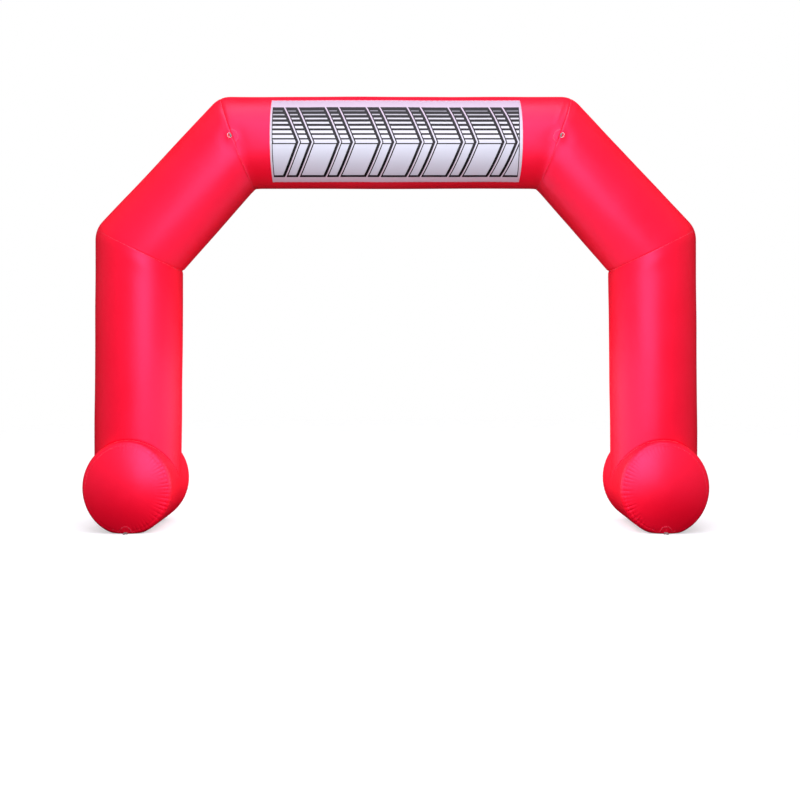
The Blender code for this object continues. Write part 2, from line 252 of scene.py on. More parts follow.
def grid_object(name, points, flat, finish, wraps=True, closed_end=False):
    """A smooth mesh over a grid. flat is where each point lies on the cut cloth."""
    rows, columns = points.shape[:2]
    r = np.arange(rows - 1)[:, None]
    c = np.arange(columns if wraps else columns - 1)[None, :]
    n = (c + 1) % columns
    corners = [r * columns + c, r * columns + n, (r + 1) * columns + n, (r + 1) * columns + c]
    quads = np.stack(corners, axis=-1).reshape(-1, 4)
    cuts = [flat[r, c], flat[r, c + 1], flat[r + 1, c + 1], flat[r + 1, c]]
    spread = np.stack(cuts, axis=-2).reshape(-1, 4, 2)
    a, b, d = [points.reshape(-1, 3)[quads[:, k]] for k in (0, 1, 3)]
    out = a - np.repeat(points.mean(axis=1)[:-1], c.size, axis=0)
    flip = (np.cross(b - a, d - a) * out).sum() < 0
    if flip:
        quads, spread = quads[:, ::-1], spread[:, ::-1]
    faces = quads.tolist()
    if closed_end:
        last = list(range((rows - 1) * columns, rows * columns))
        faces.append(last[::-1] if flip else last)
    mesh = bpy.data.meshes.new(name)
    mesh.from_pydata(points.reshape(-1, 3).tolist(), [], faces)
    cut = mesh.uv_layers.new(name="cut")
    values = np.zeros((len(mesh.loops), 2), np.float32)
    values[: spread.size // 2] = spread.reshape(-1, 2)
    cut.data.foreach_set("uv", values.ravel())
    return placed(mesh, finish)


# %% [markdown]
# ## What the sewing does to the cloth
#
# Three things break the smooth skin. The whole cloth swells a little unevenly. Each seam is drawn in
# as a shallow groove. And where a longer edge is sewn to a shorter one, the spare cloth is pinched
# into short creases across the seam, deepest on the stitches and gone a hand's width away. The
# creases are spaced by a sine that wanders, so that no two are quite alike. A cloth simulation finds
# such creases on a cushion. Here the bag is blown up hard and its tubes are metres long, so waves
# laid along the seams are surer, and need far fewer faces.

# %% Slack, grooves and puckers
COLUMNS = 420
SWELL_HEIGHT, RIPPLE_HEIGHT = 0.0011, 0.0007


def slack(points):
    """Low soft unevenness of cloth held by air."""
    x, y, z = np.moveaxis(points, -1, 0)
    swell = np.sin(4.1 * x + 1.7 * y + 2.3 * z) + np.sin(2.2 * x - 5.3 * y + 6.1 * z + 1.0)
    ripple = np.sin(9.3 * x + 7.1 * y - 5.0 * z + 2.0) * np.sin(6.2 * z + 8.0 * y + 0.5)
    return SWELL_HEIGHT * swell + RIPPLE_HEIGHT * ripple


WANDERS = ((0.9, 3, 0.7), (0.7, 7, 2.1), (0.5, 13, 4.0))  # size, times round, start


def pinches(angles, count):
    """A round of creases of uneven depth: up to 1 on each crease, 0 between them."""
    wander = sum(size * np.sin(k * angles + start) for size, k, start in WANDERS)
    depth = 0.65 + 0.35 * np.sin(5 * angles + 1.3) * np.sin(11 * angles + 0.4)
    return depth * (1 - np.abs(np.sin((count * angles + wander) / 2))) ** 1.6


def groove(along, depth=0.003, width=0.008):
    return -depth * np.exp(-((along / width) ** 2))


def bump(value, middle, width):
    """A soft hill of height 1 at a middle value."""
    return np.exp(-(((value - middle) / width) ** 2))


print("the cloth swells by up to", round(1000 * (2 * SWELL_HEIGHT + RIPPLE_HEIGHT), 1), "mm")

# %% [markdown]
# ## Creases placed one by one
#
# A few creases belong to this arch alone. Over the right corner a soft ridge runs beside the seam,
# and the left corner has only a shallow trough on it. At both knees a sharp crease starts on the
# inner side and fades halfway to the outer side, and below it the leg swells a little, where
# the cloth of the bend has nowhere else to go. Each is a row of a short table: which piece and seam,
# between which angles (in degrees), how far from the seam, how wide and how high.

# %% Table of creases
Crease = namedtuple("Crease", "piece seam start stop offset width height")
CREASES = (
    Crease("crossbeam", "right", 100, 146, offset=0.080, width=0.014, height=0.0050),
    Crease("crossbeam", "right", 98, 150, offset=0.118, width=0.026, height=-0.0035),
    Crease("crossbeam", "right", 104, 160, offset=0.035, width=0.026, height=-0.0030),
    Crease("crossbeam", "left", 104, 160, offset=0.0, width=0.022, height=-0.0050),
    Crease("slope_left", "corner", 104, 160, offset=0.0, width=0.022, height=-0.0050),
    Crease("slope_right", "corner", 112, 165, offset=0.030, width=0.030, height=-0.0030),
    Crease("slope_left", "knee", -70, 70, offset=0.0, width=0.014, height=-0.0050),
    Crease("slope_right", "knee", -70, 66, offset=0.0, width=0.014, height=-0.0050),
    Crease("leg_left", "knee", -70, 70, offset=0.0, width=0.014, height=-0.0050),
    Crease("leg_right", "knee", -70, 66, offset=0.0, width=0.014, height=-0.0050),
    Crease("leg_left", "knee", 38, 110, offset=0.110, width=0.075, height=0.0060),
    Crease("leg_right", "knee", 38, 110, offset=0.110, width=0.075, height=0.0060),
)


def creased(piece, seam, angles, along):
    """The height of every crease of one seam of a piece, fading out at both ends."""
    height = np.zeros_like(along)
    for crease in CREASES:
        if (crease.piece, crease.seam) != (piece, seam):
            continue
        middle = math.radians(crease.start + crease.stop) / 2
        reach = math.radians(crease.stop - crease.start) / 2
        off = np.abs((angles - middle + math.pi) % math.tau - math.pi) / reach
        fade = np.clip(1.0 - off**2, 0, 1) ** 1.5
        height += crease.height * fade * bump(along, crease.offset, crease.width)
    return height


print(len(CREASES), "creases placed by hand")

# %% [markdown]
# ## Riding on the frame
#
# Each new piece rides on the frame's one body and stands in for a plain node.

# %% Tie a piece to the frame


def settle(piece, stands_for):
    """The piece rides on the frame's body and takes a plain node's place."""
    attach(piece, "root")
    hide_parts(stands_for)


print("plain nodes to replace:", len(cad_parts))

# %% [markdown]
# ## Tubes
#
# A tube is made from both of its seams towards its middle, which keeps the fine rows near the sewing.
# The cloth is pinched most on the inner side of a bend, where the cut edges are shortest. There it
# is also too tight to follow the mitre, and bridges it in a short curve. Round each D-ring the guy
# rope's tab holds the seam out to a soft point, so the cloth sinks a little all about it.

# %% What a seam does to the end of a tube
SEAM_PINCHES = 84
SEAM_PULL, INNER_PULL, PULL_REACH = 0.0006, 0.0018, 0.028
DIMPLE_DEPTH, DIMPLE_REACH = 0.006, 0.09
EASED_REACH = 0.085
MITRE_SLOPE = math.tan(math.radians(22.0))  # each tube leans this much from its mitre
BRIDGE_GROOVE, KNEE_GROOVE = 0.1, 0.05  # what is left of a groove on bridged cloth and at an outer knee
FRONT, BACK = math.pi / 2, 3 * math.pi / 2


def tab_dimple(angles, along, radius):
    """The hollow about a D-ring: nothing at the tab itself, deepest a hand's width away."""
    hollow = 0.0
    for facing in (FRONT, BACK):
        away = np.hypot((angles - facing) * radius, along)
        hollow = hollow - DIMPLE_DEPTH * (away / DIMPLE_REACH) ** 2 * np.exp(1 - (away / DIMPLE_REACH) ** 2)
    return hollow


def eased(angles, seam_name):
    """How far tight cloth bridges a mitre, and how much of its groove is left open."""
    inward = np.cos(angles)
    if seam_name == "knee":
        outer = np.clip((0.2 - inward) / 0.3, 0, 1)
        return 0 * inward, 1 - (1 - KNEE_GROOVE) * outer
    bridged = np.clip(inward, 0, 1) * (1 - 0.8 * inward**6)
    return bridged, 1 - (1 - BRIDGE_GROOVE) * np.clip(3 * bridged, 0, 1)


def seam_relief(piece, seam_name, seam, angles, along):
    """The height of the cloth near a mitred seam: groove, puckers, bridge, creases and dimples."""
    inner_side = (1 + np.cos(angles)) / 2
    pull = pinches(angles, SEAM_PINCHES) * (SEAM_PULL + INNER_PULL * inner_side**2)
    bridged, open_groove = eased(angles, seam_name)
    height = groove(along) * open_groove - pull * np.exp(-along / PULL_REACH)
    height += bridged * MITRE_SLOPE / 2 * EASED_REACH * np.clip(1 - along / EASED_REACH, 0, 1) ** 2
    height += creased(piece, seam_name, angles, along)
    if seam_name != "knee":
        height += tab_dimple(angles, along, seam.half_depth)
    return height


print("a crease every", round(1000 * math.tau * CORNER.half_depth / SEAM_PINCHES), "mm round a corner")

# %% Make the tubes
MIDDLE_ROWS = 16
MIDDLE_SHARES = (np.arange(MIDDLE_ROWS) + 1) / MIDDLE_ROWS
ROUND = np.arange(COLUMNS) * math.tau / COLUMNS
cloths = {}


def half_tube(piece, seam_name, seam, this_end, other_end, half_lengths):
    """Rows from a seam to the middle of a tube: their points, heights and distances."""
    angles = np.broadcast_to(ROUND, (len(NEAR_ROWS) + MIDDLE_ROWS, COLUMNS))
    far = NEAR_ROWS[-1] + (half_lengths - NEAR_ROWS[-1]) * MIDDLE_SHARES[:, None]
    along = np.vstack([np.repeat(NEAR_ROWS[:, None], COLUMNS, axis=1), far])
    points = cloth_line(seam, this_end, other_end, angles, along)
    return points, seam_relief(piece, seam_name, seam, angles, along), along


def joined(first, last, span):
    """Two halves of a tube as one: points, heights and distances from the first seam."""
    points, height = [np.vstack([first[k], last[k][-2::-1]]) for k in (0, 1)]
    return points, height, np.vstack([first[2], span - last[2][-2::-1]])


def with_allowances(moved, normals):
    """Cloth with both of its edges turned into the tube."""
    turned_in = [moved[row] - normals[row] * ALLOWANCE for row in (0, -1)]
    return np.vstack([turned_in[:1], moved, turned_in[1:]])


def open_normals(points):
    """Outward normals whose first and last rows point straight away from the tube's middle."""
    normals = outward_normals(points)
    for row in (0, -1):
        normals[row] = unit(points[row] - points[row].mean(axis=0))
    return normals


def finish_tube(piece, points, height, lengths, finish):
    """Raises the cloth by its height, turns both seam allowances in and makes the mesh."""
    normals = open_normals(points)
    moved = points + normals * (height + slack(points))[..., None]
    cloths[piece] = Cloth(moved, outward_normals(moved), NEAR_ROWS)
    grid = with_allowances(moved, normals)
    lengths = np.vstack([lengths[:1] - ALLOWANCE, lengths, lengths[-1:] + ALLOWANCE])
    around = np.linalg.norm(np.roll(points[0], -1, axis=0) - points[0], axis=-1).cumsum()
    around = np.broadcast_to(np.concatenate([[0], around]), (len(grid), COLUMNS + 1))
    flat = np.stack([around, np.hstack([lengths, lengths[:, :1]])], axis=-1)
    made = grid_object(f"{piece}_cloth", grid, flat, finish)
    settle(made, piece)


def tube(piece, near, far, finish):
    """near and far are (name, seam, seam beyond it) of a tube's two ends."""
    span = np.linalg.norm(seam_points(near[1], ROUND) - seam_points(far[1], ROUND), axis=-1)
    first = half_tube(piece, near[0], near[1], far[1], near[2], span / 2)
    last = half_tube(piece, far[0], far[1], near[1], far[2], span / 2)
    finish_tube(piece, *joined(first, last, span), finish)


tube("crossbeam", ("left", mirrored(CORNER), mirrored(KNEE)), ("right", CORNER, KNEE), cloth_finish)
for side, sign, place in SIDES:
    corner, knee, ankle = place(CORNER), place(KNEE), place(ANKLE)
    tube(f"slope_{side}", ("corner", corner, mirrored(corner)), ("knee", knee, ankle), cloth_finish)
print("tubes made:", sorted(cloths))

# %% [markdown]
# ## Feet and the saddle
#
# A foot is a lying oval tube, pressed flat where it carries the arch. The leg's lower edge is cut to
# a saddle, the line where the leg meets the round of the foot, and a maker would cut it from a paper
# pattern of that same curve. Each straight line of the leg is followed down until it reaches the
# foot, where a boolean cut would leave ragged faces. The flat sole meets the round of the tube in a
# soft turn, not a hard edge, because air-filled cloth can't hold one. Near its ends the tube draws in
# to a shoulder.

# %% The foot's oval
FOOT_X, FOOT_Z = 2.572, 0.431
FOOT_HALF_WIDTH, FOOT_HALF_HEIGHT = 0.428, 0.455
FOOT_STRAIGHT = 0.44  # half the length of the straight part
SHOULDER_RUN, SHOULDER_DROP, SHOULDER_END = 0.070, 0.080, math.radians(60)
SHOULDER_ARC = 0.0785  # the length of the shoulder's curve
SOLE_TURN = 0.010


def foot_oval(centre_x, y, scale, angles):
    """Points of the foot's oval, from the sole (0) through +x (90 degrees) to the top (180)."""
    x = centre_x + FOOT_HALF_WIDTH * scale * np.sin(angles)
    z = FOOT_Z - FOOT_HALF_HEIGHT * scale * np.cos(angles)
    z = (z + np.sqrt(z**2 + SOLE_TURN**2)) / 2
    return np.stack(np.broadcast_arrays(x, y, z), axis=-1)


def shoulder(turn):
    y = FOOT_STRAIGHT + SHOULDER_RUN * np.sin(turn)
    return y, 1 - SHOULDER_DROP * (1 - np.cos(turn)) / FOOT_HALF_HEIGHT


RING_Y, RING_SCALE = shoulder(SHOULDER_END)
print("ring seam of a foot at y =", round(RING_Y, 4), "and scale", round(RING_SCALE, 4))

# %% Make the legs
SADDLE_PINCHES, SADDLE_PULL, SADDLE_PULL_REACH = 90, 0.0008, 0.025
SADDLE_STEPS = 12  # enough tries for the saddle to settle
FIRST_SHARE, WIDEST = 0.9, 0.9995  # the first try, and how near the foot's side a line may meet it
GATHERED_LENGTH = 0.3  # how far up the rows stay close to the saddle's own curve


def saddle(top, low):
    """Where each lengthwise line of the leg, followed down from the knee, meets the foot."""
    share = np.full(len(top), FIRST_SHARE)
    for _ in range(SADDLE_STEPS):
        met = top + (low - top) * share[:, None]
        across = np.clip((np.abs(met[:, 0]) - FOOT_X) / FOOT_HALF_WIDTH, -WIDEST, WIDEST)
        height = FOOT_Z + FOOT_HALF_HEIGHT * np.sqrt(1 - across**2)
        share = (height - top[:, 2]) / (low[:, 2] - top[:, 2])
    return top + (low - top) * share[:, None]


def leg(piece, corner, knee, ankle, finish):
    """Rows from the knee to the middle of the leg, then rows that gather towards the saddle."""
    top = seam_points(knee, ROUND)
    low = saddle(top, seam_points(ankle, ROUND))
    span = np.linalg.norm(top - low, axis=-1)
    first = half_tube(piece, "knee", knee, ankle, corner, span / 2)
    gathered = np.concatenate([NEAR_ROWS, NEAR_ROWS[-1] + MIDDLE_SHARES * GATHERED_LENGTH])
    stretch = (gathered / gathered[-1])[:, None] ** 3
    along = gathered[:, None] + (span / 2 - gathered[-1]) * stretch
    pull = pinches(ROUND, SADDLE_PINCHES) * SADDLE_PULL
    height = groove(along, depth=0.004, width=0.012) - pull * np.exp(-along / SADDLE_PULL_REACH)
    last = (low + unit(top - low) * along[..., None], height, along)
    finish_tube(piece, *joined(first, last, span), finish)


for side, sign, place in SIDES:
    leg(f"leg_{side}", place(CORNER), place(KNEE), place(ANKLE), cloth_finish)
saddle_top = float(cloths["leg_left"].points[-1, :, 2].max())
print("legs made down to the saddle at z =", round(saddle_top, 3))

# %% [markdown]
# ## Puckers at the feet
#
# The round end panel is cut larger than the foot's mouth, and its edge is gathered in as it is sewn.
# That gives the row of short creases right round each foot, on the panel and on the tube alike. They
# are strongest towards the passage, and a few are pulled much deeper than the rest.

# %% How the ring seam is gathered
FOOT_COLUMNS = 528
FOOT_ROUND = np.arange(FOOT_COLUMNS) * math.tau / FOOT_COLUMNS
RING_PINCHES, RING_PULL = 66, 0.0050
EVEN_GATHER, SIDE_GATHER = 0.34, 0.66  # all round, and more towards the passage
DEEP_PUCKERS = (0.90, 0.55)  # where the deep ones are, as shares of the way to the passage side
DEEP_WIDTH, DEEPER = 0.03, 0.6
TUBE_PULL_REACH, PANEL_PULL_REACH = 0.055, 0.044
GROUND_CLEARANCE, GROUND_FADE = 0.004, 0.05


def gather(sign):
    """How strongly the ring seam is gathered round a foot: most on the side of the passage."""
    inward = -sign * np.sin(FOOT_ROUND)
    lower = (1 + np.cos(FOOT_ROUND)) / 2
    strength = EVEN_GATHER + SIDE_GATHER * np.clip(inward + 0.35 * lower, 0, 1)
    deep = sum(bump(inward, middle, DEEP_WIDTH) * (lower > 0.5) for middle in DEEP_PUCKERS)
    return strength * (1 + DEEPER * deep)


def ring_relief(sign, along, reach):
    pull = pinches(FOOT_ROUND, RING_PINCHES) * gather(sign) * RING_PULL
    return groove(along, depth=0.0035, width=0.009) - pull * np.exp(-((along / reach) ** 1.3))


def sole_free(points, height):
    """Cloth that carries the arch can't move: relief fades out towards the ground."""
    return height * np.clip((points[..., 2] - GROUND_CLEARANCE) / GROUND_FADE, 0, 1)


print("a crease every", round(1000 * math.tau * FOOT_HALF_WIDTH / RING_PINCHES), "mm round a foot")

# %% Make the feet
FOOT_MIDDLE_ROWS = 12
FOOT_HALF_ROUND = 0.44  # mean radius of the oval, for the flat cut
LOWEST = 0.0002


def foot(side, sign, finish):
    piece = f"foot_{side}"
    shares = (np.arange(FOOT_MIDDLE_ROWS) + 1) / FOOT_MIDDLE_ROWS
    far = NEAR_ROWS[-1] + (FOOT_STRAIGHT + SHOULDER_ARC - NEAR_ROWS[-1]) * shares
    along = np.concatenate([NEAR_ROWS, far])
    y, scale = shoulder(SHOULDER_END * np.clip(1 - along / SHOULDER_ARC, 0, 1))
    y = y - np.clip(along - SHOULDER_ARC, 0, None)
    front = foot_oval(sign * FOOT_X, -y[:, None], scale[:, None], FOOT_ROUND)
    back = foot_oval(sign * FOOT_X, y[-2::-1, None], scale[-2::-1, None], FOOT_ROUND)
    points = np.vstack([front, back])
    height = ring_relief(sign, np.concatenate([along, along[-2::-1]])[:, None], TUBE_PULL_REACH)
    normals = open_normals(points)
    moved = points + normals * sole_free(points, height + slack(points))[..., None]
    moved[..., 2] = np.maximum(moved[..., 2], LOWEST)
    cloths[piece] = Cloth(moved, outward_normals(moved), NEAR_ROWS)
    grid = with_allowances(moved, normals)
    turns = np.arange(FOOT_COLUMNS + 1) * math.tau / FOOT_COLUMNS
    around = np.broadcast_to(turns * FOOT_HALF_ROUND, (len(grid), FOOT_COLUMNS + 1))
    down = np.broadcast_to(grid[:, :1, 1], around.shape)
    made = grid_object(f"{piece}_cloth", grid, np.stack([around, down], axis=-1), finish)
    settle(made, piece)


for side, sign, place in SIDES:
    foot(side, sign, cloth_finish)
print("feet made, lowest point", round(float(cloths["foot_left"].points[..., 2].min()), 4))

# %% Make the end panels
RIM = FOOT_HALF_HEIGHT * RING_SCALE
END_RISE = 0.100  # how far the air pushes the middle of a panel out
PANEL_MIDDLE_ROWS = 16
PANEL_COVER = 0.985  # a small flat disc closes the rest
CALM_MIDDLE = 0.10  # no puckers or slack this near a panel's middle
ALLOWANCE_TUCK = 0.004  # how far the panel's seam allowance leans outwards
FACES = (("front", -1, FRONT), ("back", 1, BACK))


def end_panel(side, sign, face, facing, finish):
    piece = f"foot_end_{side}_{face}"
    shares = (np.arange(PANEL_MIDDLE_ROWS) + 1) / PANEL_MIDDLE_ROWS
    far = NEAR_ROWS[-1] + (RIM * PANEL_COVER - NEAR_ROWS[-1]) * shares
    along = np.concatenate([NEAR_ROWS, far])[:, None]
    scale = 1 - along / RIM
    y = facing * (RING_Y + END_RISE * (1 - scale**2))
    points = foot_oval(sign * FOOT_X, y, RING_SCALE * scale, FOOT_ROUND)
    rise = 2 * END_RISE * scale / RIM
    flat_out = unit(points - points.mean(axis=1, keepdims=True))
    normals = unit(flat_out * rise[..., None] + np.array((0, facing, 0)))
    normals[0] = flat_out[0]
    height = ring_relief(sign, along, PANEL_PULL_REACH) + slack(points)
    height = height * (1 - bump(along, RIM, CALM_MIDDLE))
    moved = points + normals * sole_free(points, height)[..., None]
    cloths[piece] = Cloth(moved, normals, NEAR_ROWS)
    grid = np.vstack([moved[:1] - flat_out[:1] * ALLOWANCE, moved])
    grid[0, :, 1] -= facing * ALLOWANCE_TUCK
    reach = np.concatenate([[RIM + ALLOWANCE], RIM - along[:, 0]])[:, None]
    turns = np.arange(FOOT_COLUMNS + 1) * math.tau / FOOT_COLUMNS
    flat = np.stack([reach * np.sin(turns), reach * np.cos(turns)], axis=-1)
    made = grid_object(f"{piece}_cloth", grid, flat, finish, closed_end=True)
    settle(made, piece)


for side, sign, place in SIDES:
    for face, facing, angle in FACES:
        end_panel(side, sign, face, facing, cloth_finish)
print("end panels made with", RING_PINCHES, "creases each")

# %% [markdown]
# ## Printed banner
#
# The banner is a panel of white polyester, printed before it is sewn to the crossbeam. The print here
# is a plain race motif: a row of broad and narrow chevrons that point the same way, outlined in
# black, with black stripes over their top half that grow thinner downwards, and a cool pale grey
# below. Ink has no thickness, so the print is part of the finish and not a set of laid-on shapes. It
# is drawn over the flat cut in metres, so that it bends with the cloth. A colour ramp with
# hard steps works as a ruler: it says at which distances there is ink, in its red part, and at which
# there is a figure, in its green part.

# %% Sizes of the print
PRINT_HALF_WIDTH = 1.183
PRINT_LOW, PRINT_HIGH = 0.078, 0.822
CHEVRON_REACH = 0.15
PAIR = 0.3943  # one broad and one narrow chevron
BROAD_END, NARROW_START, NARROW_END = 0.252, 0.266, PAIR - 0.014
LEFT_LINE, RIGHT_LINE = 0.011, 0.028
LOW_LINE, TOP_LINE = 0.026, 0.012
STRIPES_START, STRIPE_PITCH = 0.430, 0.0435
STRIPE_INK = {"To_Min": 0.24, "To_Max": 0.86}  # the inked share of the lowest and highest stripe
PAPER_STEPS = ((0.0, "#CFB8CA"), (0.45, "#CBC9D4"), (0.70, "#B5A5B5"), (0.90, "#A692A3"))
FILL_STEPS = ((0.0, "#C4C4D4"), (0.40, "#CACCD8"), (0.52, "#CDCBD2"), (0.68, "#B3B0B5"), (0.80, "#6E6974"))
INK_BLACK = "#0B0409"
PAPER, INK, FILL = (0, 0, 0, 1), (1, 1, 0, 1), (0, 1, 0, 1)  # what a step of a ruler says
FIGURE_STEPS = (
    (0.0, INK),
    (LEFT_LINE / PAIR, FILL),
    ((BROAD_END - RIGHT_LINE) / PAIR, INK),
    (BROAD_END / PAIR, PAPER),
    (NARROW_START / PAIR, INK),
    ((NARROW_START + LEFT_LINE) / PAIR, FILL),
    ((NARROW_END - RIGHT_LINE) / PAIR, INK),
    (NARROW_END / PAIR, PAPER),
)
HEIGHT_STEPS = (
    (0.0, PAPER),
    (PRINT_LOW, INK),
    (PRINT_LOW + LOW_LINE, FILL),
    (PRINT_HIGH - TOP_LINE, INK),
    (PRINT_HIGH, PAPER),
)
WIDTH_STEPS = ((0.0, FILL), ((PRINT_HALF_WIDTH - LEFT_LINE) / 2, INK), (PRINT_HALF_WIDTH / 2, PAPER))
print("chevrons across the banner:", round(2 * 2 * PRINT_HALF_WIDTH / PAIR))

# %% Printed polyester finish


def chevron_print(tree):
    """Whether a place on the flat cut is ink, whether it is inside a figure, and its height."""
    axes = node(tree, "SeparateXYZ", _0=node(tree, "UVMap", uv_map="cut"))
    across, up = axes.outputs[0], axes.outputs[1]
    off_middle = node(tree, "Math", operation="SUBTRACT", _0=up, _1=(PRINT_LOW + PRINT_HIGH) / 2)
    off_middle = node(tree, "Math", operation="ABSOLUTE", _0=off_middle)
    steepness = 2 * CHEVRON_REACH / (PRINT_HIGH - PRINT_LOW)
    lean = node(tree, "Math", operation="MULTIPLY", _0=off_middle, _1=steepness)
    leaning = node(tree, "Math", operation="ADD", _0=across, _1=lean)
    leaning = node(tree, "Math", operation="ADD", _0=leaning, _1=4 * PAIR)
    pairs = node(tree, "Math", operation="DIVIDE", _0=leaning, _1=PAIR)
    share = node(tree, "Math", operation="FRACT", _0=pairs)
    side = node(tree, "Math", operation="ABSOLUTE", _0=across)
    side = node(tree, "Math", operation="MULTIPLY", _0=side, _1=0.5)
    lines, inside = [], []
    for value, steps in ((share, FIGURE_STEPS), (up, HEIGHT_STEPS), (side, WIDTH_STEPS)):
        ruler = node(tree, "ValToRGB", steps, _0=value)
        ruler.color_ramp.interpolation = "CONSTANT"
        said = node(tree, "SeparateColor", _0=ruler)
        lines.append(said.outputs[0])
        inside.append(said.outputs[1])
    stripes = node(tree, "Math", operation="SUBTRACT", _0=up, _1=STRIPES_START)
    stripes = node(tree, "Math", operation="DIVIDE", _0=stripes, _1=STRIPE_PITCH)
    stripes = node(tree, "Math", operation="FRACT", _0=stripes)
    inked = node(tree, "MapRange", Value=up, From_Min=STRIPES_START, From_Max=PRINT_HIGH, **STRIPE_INK)
    stripes = node(tree, "Math", operation="LESS_THAN", _0=stripes, _1=inked)
    upper = node(tree, "Math", operation="GREATER_THAN", _0=up, _1=STRIPES_START)
    line = node(tree, "Math", operation="MULTIPLY", _0=stripes, _1=upper)
    for other in lines:
        line = node(tree, "Math", operation="MAXIMUM", _0=line, _1=other)
    figure = inside[0]
    for other in inside[1:]:
        figure = node(tree, "Math", operation="MULTIPLY", _0=figure, _1=other)
    return node(tree, "Math", operation="MULTIPLY", _0=line, _1=figure), figure, up


def printed_polyester():
    finish, tree = new_finish("printed polyester")
    ink, figure, up = chevron_print(tree)
    paper, fill = [
        node(tree, "ValToRGB", [(place, linear(colour)) for place, colour in steps], _0=up)
        for steps in (PAPER_STEPS, FILL_STEPS)
    ]
    ground = node(tree, "Mix", data_type="RGBA", _0=figure, _6=paper, _7=fill).outputs[2]
    colour = node(tree, "Mix", data_type="RGBA", _0=ink, _6=ground, _7=linear(INK_BLACK))
    place = node(tree, "TexCoord").outputs["Object"]
    wrinkles = node(tree, "TexNoise", Vector=place, Scale=11.0, Detail=3.0)  # about 90 mm long
    soft = node(tree, "Bump", Strength=0.5, Distance=0.002, Height=wrinkles)
    weave = weave_height(tree, DRAWN_PITCH)
    fine = node(tree, "Bump", Strength=0.2, Distance=WEAVE_DEPTH, Height=weave, Normal=soft)
    gloss = node(tree, "MapRange", Value=ink, To_Min=0.55, To_Max=0.38)  # ink is glossier than cloth
    look = {"Base_Color": colour.outputs[2], "Roughness": gloss, "Normal": fine}
    skin = node(tree, "BsdfPrincipled", IOR=COATING_IOR, Specular_IOR_Level=0.25, **look)
    node(tree, "OutputMaterial", Surface=skin)
    return finish


banner_finish = printed_polyester()
print("the print's finish has", len(banner_finish.node_tree.nodes), "nodes")

# %% [markdown]
# ## Banner cloth
#
# The panel is cut 2.42 m wide and 0.95 m deep and laid round the front of the crossbeam, so it
# follows the tube at every point. Its edges are folded under and stitched: the hem stands a
# little higher, and the stitching draws shallow ripples along it. The edge is closed by a narrow
# strip that turns down to the tube, which gives the panel its thickness.

# %% Make the banner
BANNER_HALF_WIDTH = 1.210
BANNER_LOW, BANNER_TOP = math.radians(24), math.radians(144)
BANNER_COLUMNS, BANNER_ROWS = 300, 110
BEAM_RADIUS = (CORNER.outer_z - CORNER.inner_z) / 2
BANNER_DEPTH = (BANNER_TOP - BANNER_LOW) * BEAM_RADIUS
HEM = 0.018
HEM_RISE, HEM_PRESSED = 0.0007, 0.0006
RIPPLE_RISE, RIPPLE_PITCH, RIPPLE_REACH = 0.0007, 0.052, 0.035
CLOTH_THICKNESS = 0.0015
CLOTH_GAP, RIM_GAP = 0.0004, 0.0002  # from the beam to the banner's back, and to its closed edge
SIDE_TURN, SIDE_BOW = 0.004, 0.010  # taken up by the folded side, and how far the right side bows out


def beam_front(x, turn, lift):
    """Points on the front of the crossbeam, standing off the cloth by a lift."""
    middle = (CORNER.outer_z + CORNER.inner_z) / 2
    out = np.stack([np.zeros_like(turn), -np.sin(turn), -np.cos(turn)], axis=-1)
    base = out * BEAM_RADIUS + np.stack([x, np.zeros_like(x), np.full_like(x, middle)], axis=-1)
    return base + out * (slack(base) + lift)[..., None]


def rimmed(values):
    """A grid with its edge rows and columns doubled."""
    return np.pad(values, ((1, 1), (1, 1), (0, 0)), mode="edge")


def banner(finish):
    u, v = np.meshgrid(np.linspace(-1, 1, BANNER_COLUMNS), np.linspace(0, 1, BANNER_ROWS))
    turn = BANNER_LOW + (BANNER_TOP - BANNER_LOW) * v
    bow = 1 - (2 * v - 1) ** 2
    x = u * (BANNER_HALF_WIDTH - SIDE_TURN) + np.where(u > 0, u, 0) ** 3 * SIDE_BOW * bow
    to_side, to_top = (1 - np.abs(u)) * BANNER_HALF_WIDTH, np.minimum(v, 1 - v) * BANNER_DEPTH
    edge = np.minimum(to_side, to_top)
    along = np.where(to_side < to_top, v * BANNER_DEPTH, x)
    wave = 1 + np.sin(along * math.tau / RIPPLE_PITCH + 1.5 * np.sin(along * 9))
    ripple = RIPPLE_RISE * wave * np.exp(-edge / RIPPLE_REACH)
    hem = HEM_RISE * (edge < HEM) - HEM_PRESSED * bump(edge, HEM, 0.004)
    points = beam_front(x, turn, CLOTH_GAP + CLOTH_THICKNESS + ripple + hem)
    rim, low = rimmed(points), rimmed(beam_front(x, turn, np.full_like(x, RIM_GAP)))
    inner = np.pad(np.ones(points.shape[:2], bool), 1)
    grid = np.where(inner[..., None], rim, low)
    flat = rimmed(np.stack([x, v * BANNER_DEPTH], axis=-1))
    made = grid_object("banner_cloth", grid, flat, finish, wraps=False)
    settle(made, "banner")


banner(banner_finish)
print("banner cut", 2 * BANNER_HALF_WIDTH, "by", round(BANNER_DEPTH, 3), "m")

# %% [markdown]
# ## Laying things on finished cloth
#
# Patches and stitches have to lie on the cloth as it is now, with its puckers and hollows, and not on
# a plain tube. Each grid was kept with its normals. A place on it is an angle round the seam and
# a distance from the seam, and blending the four nearest grid points gives the spot and its normal.
# A shrinkwrap modifier could press them on, but it wouldn't say where the seam runs.

# %% Find a spot on the cloth


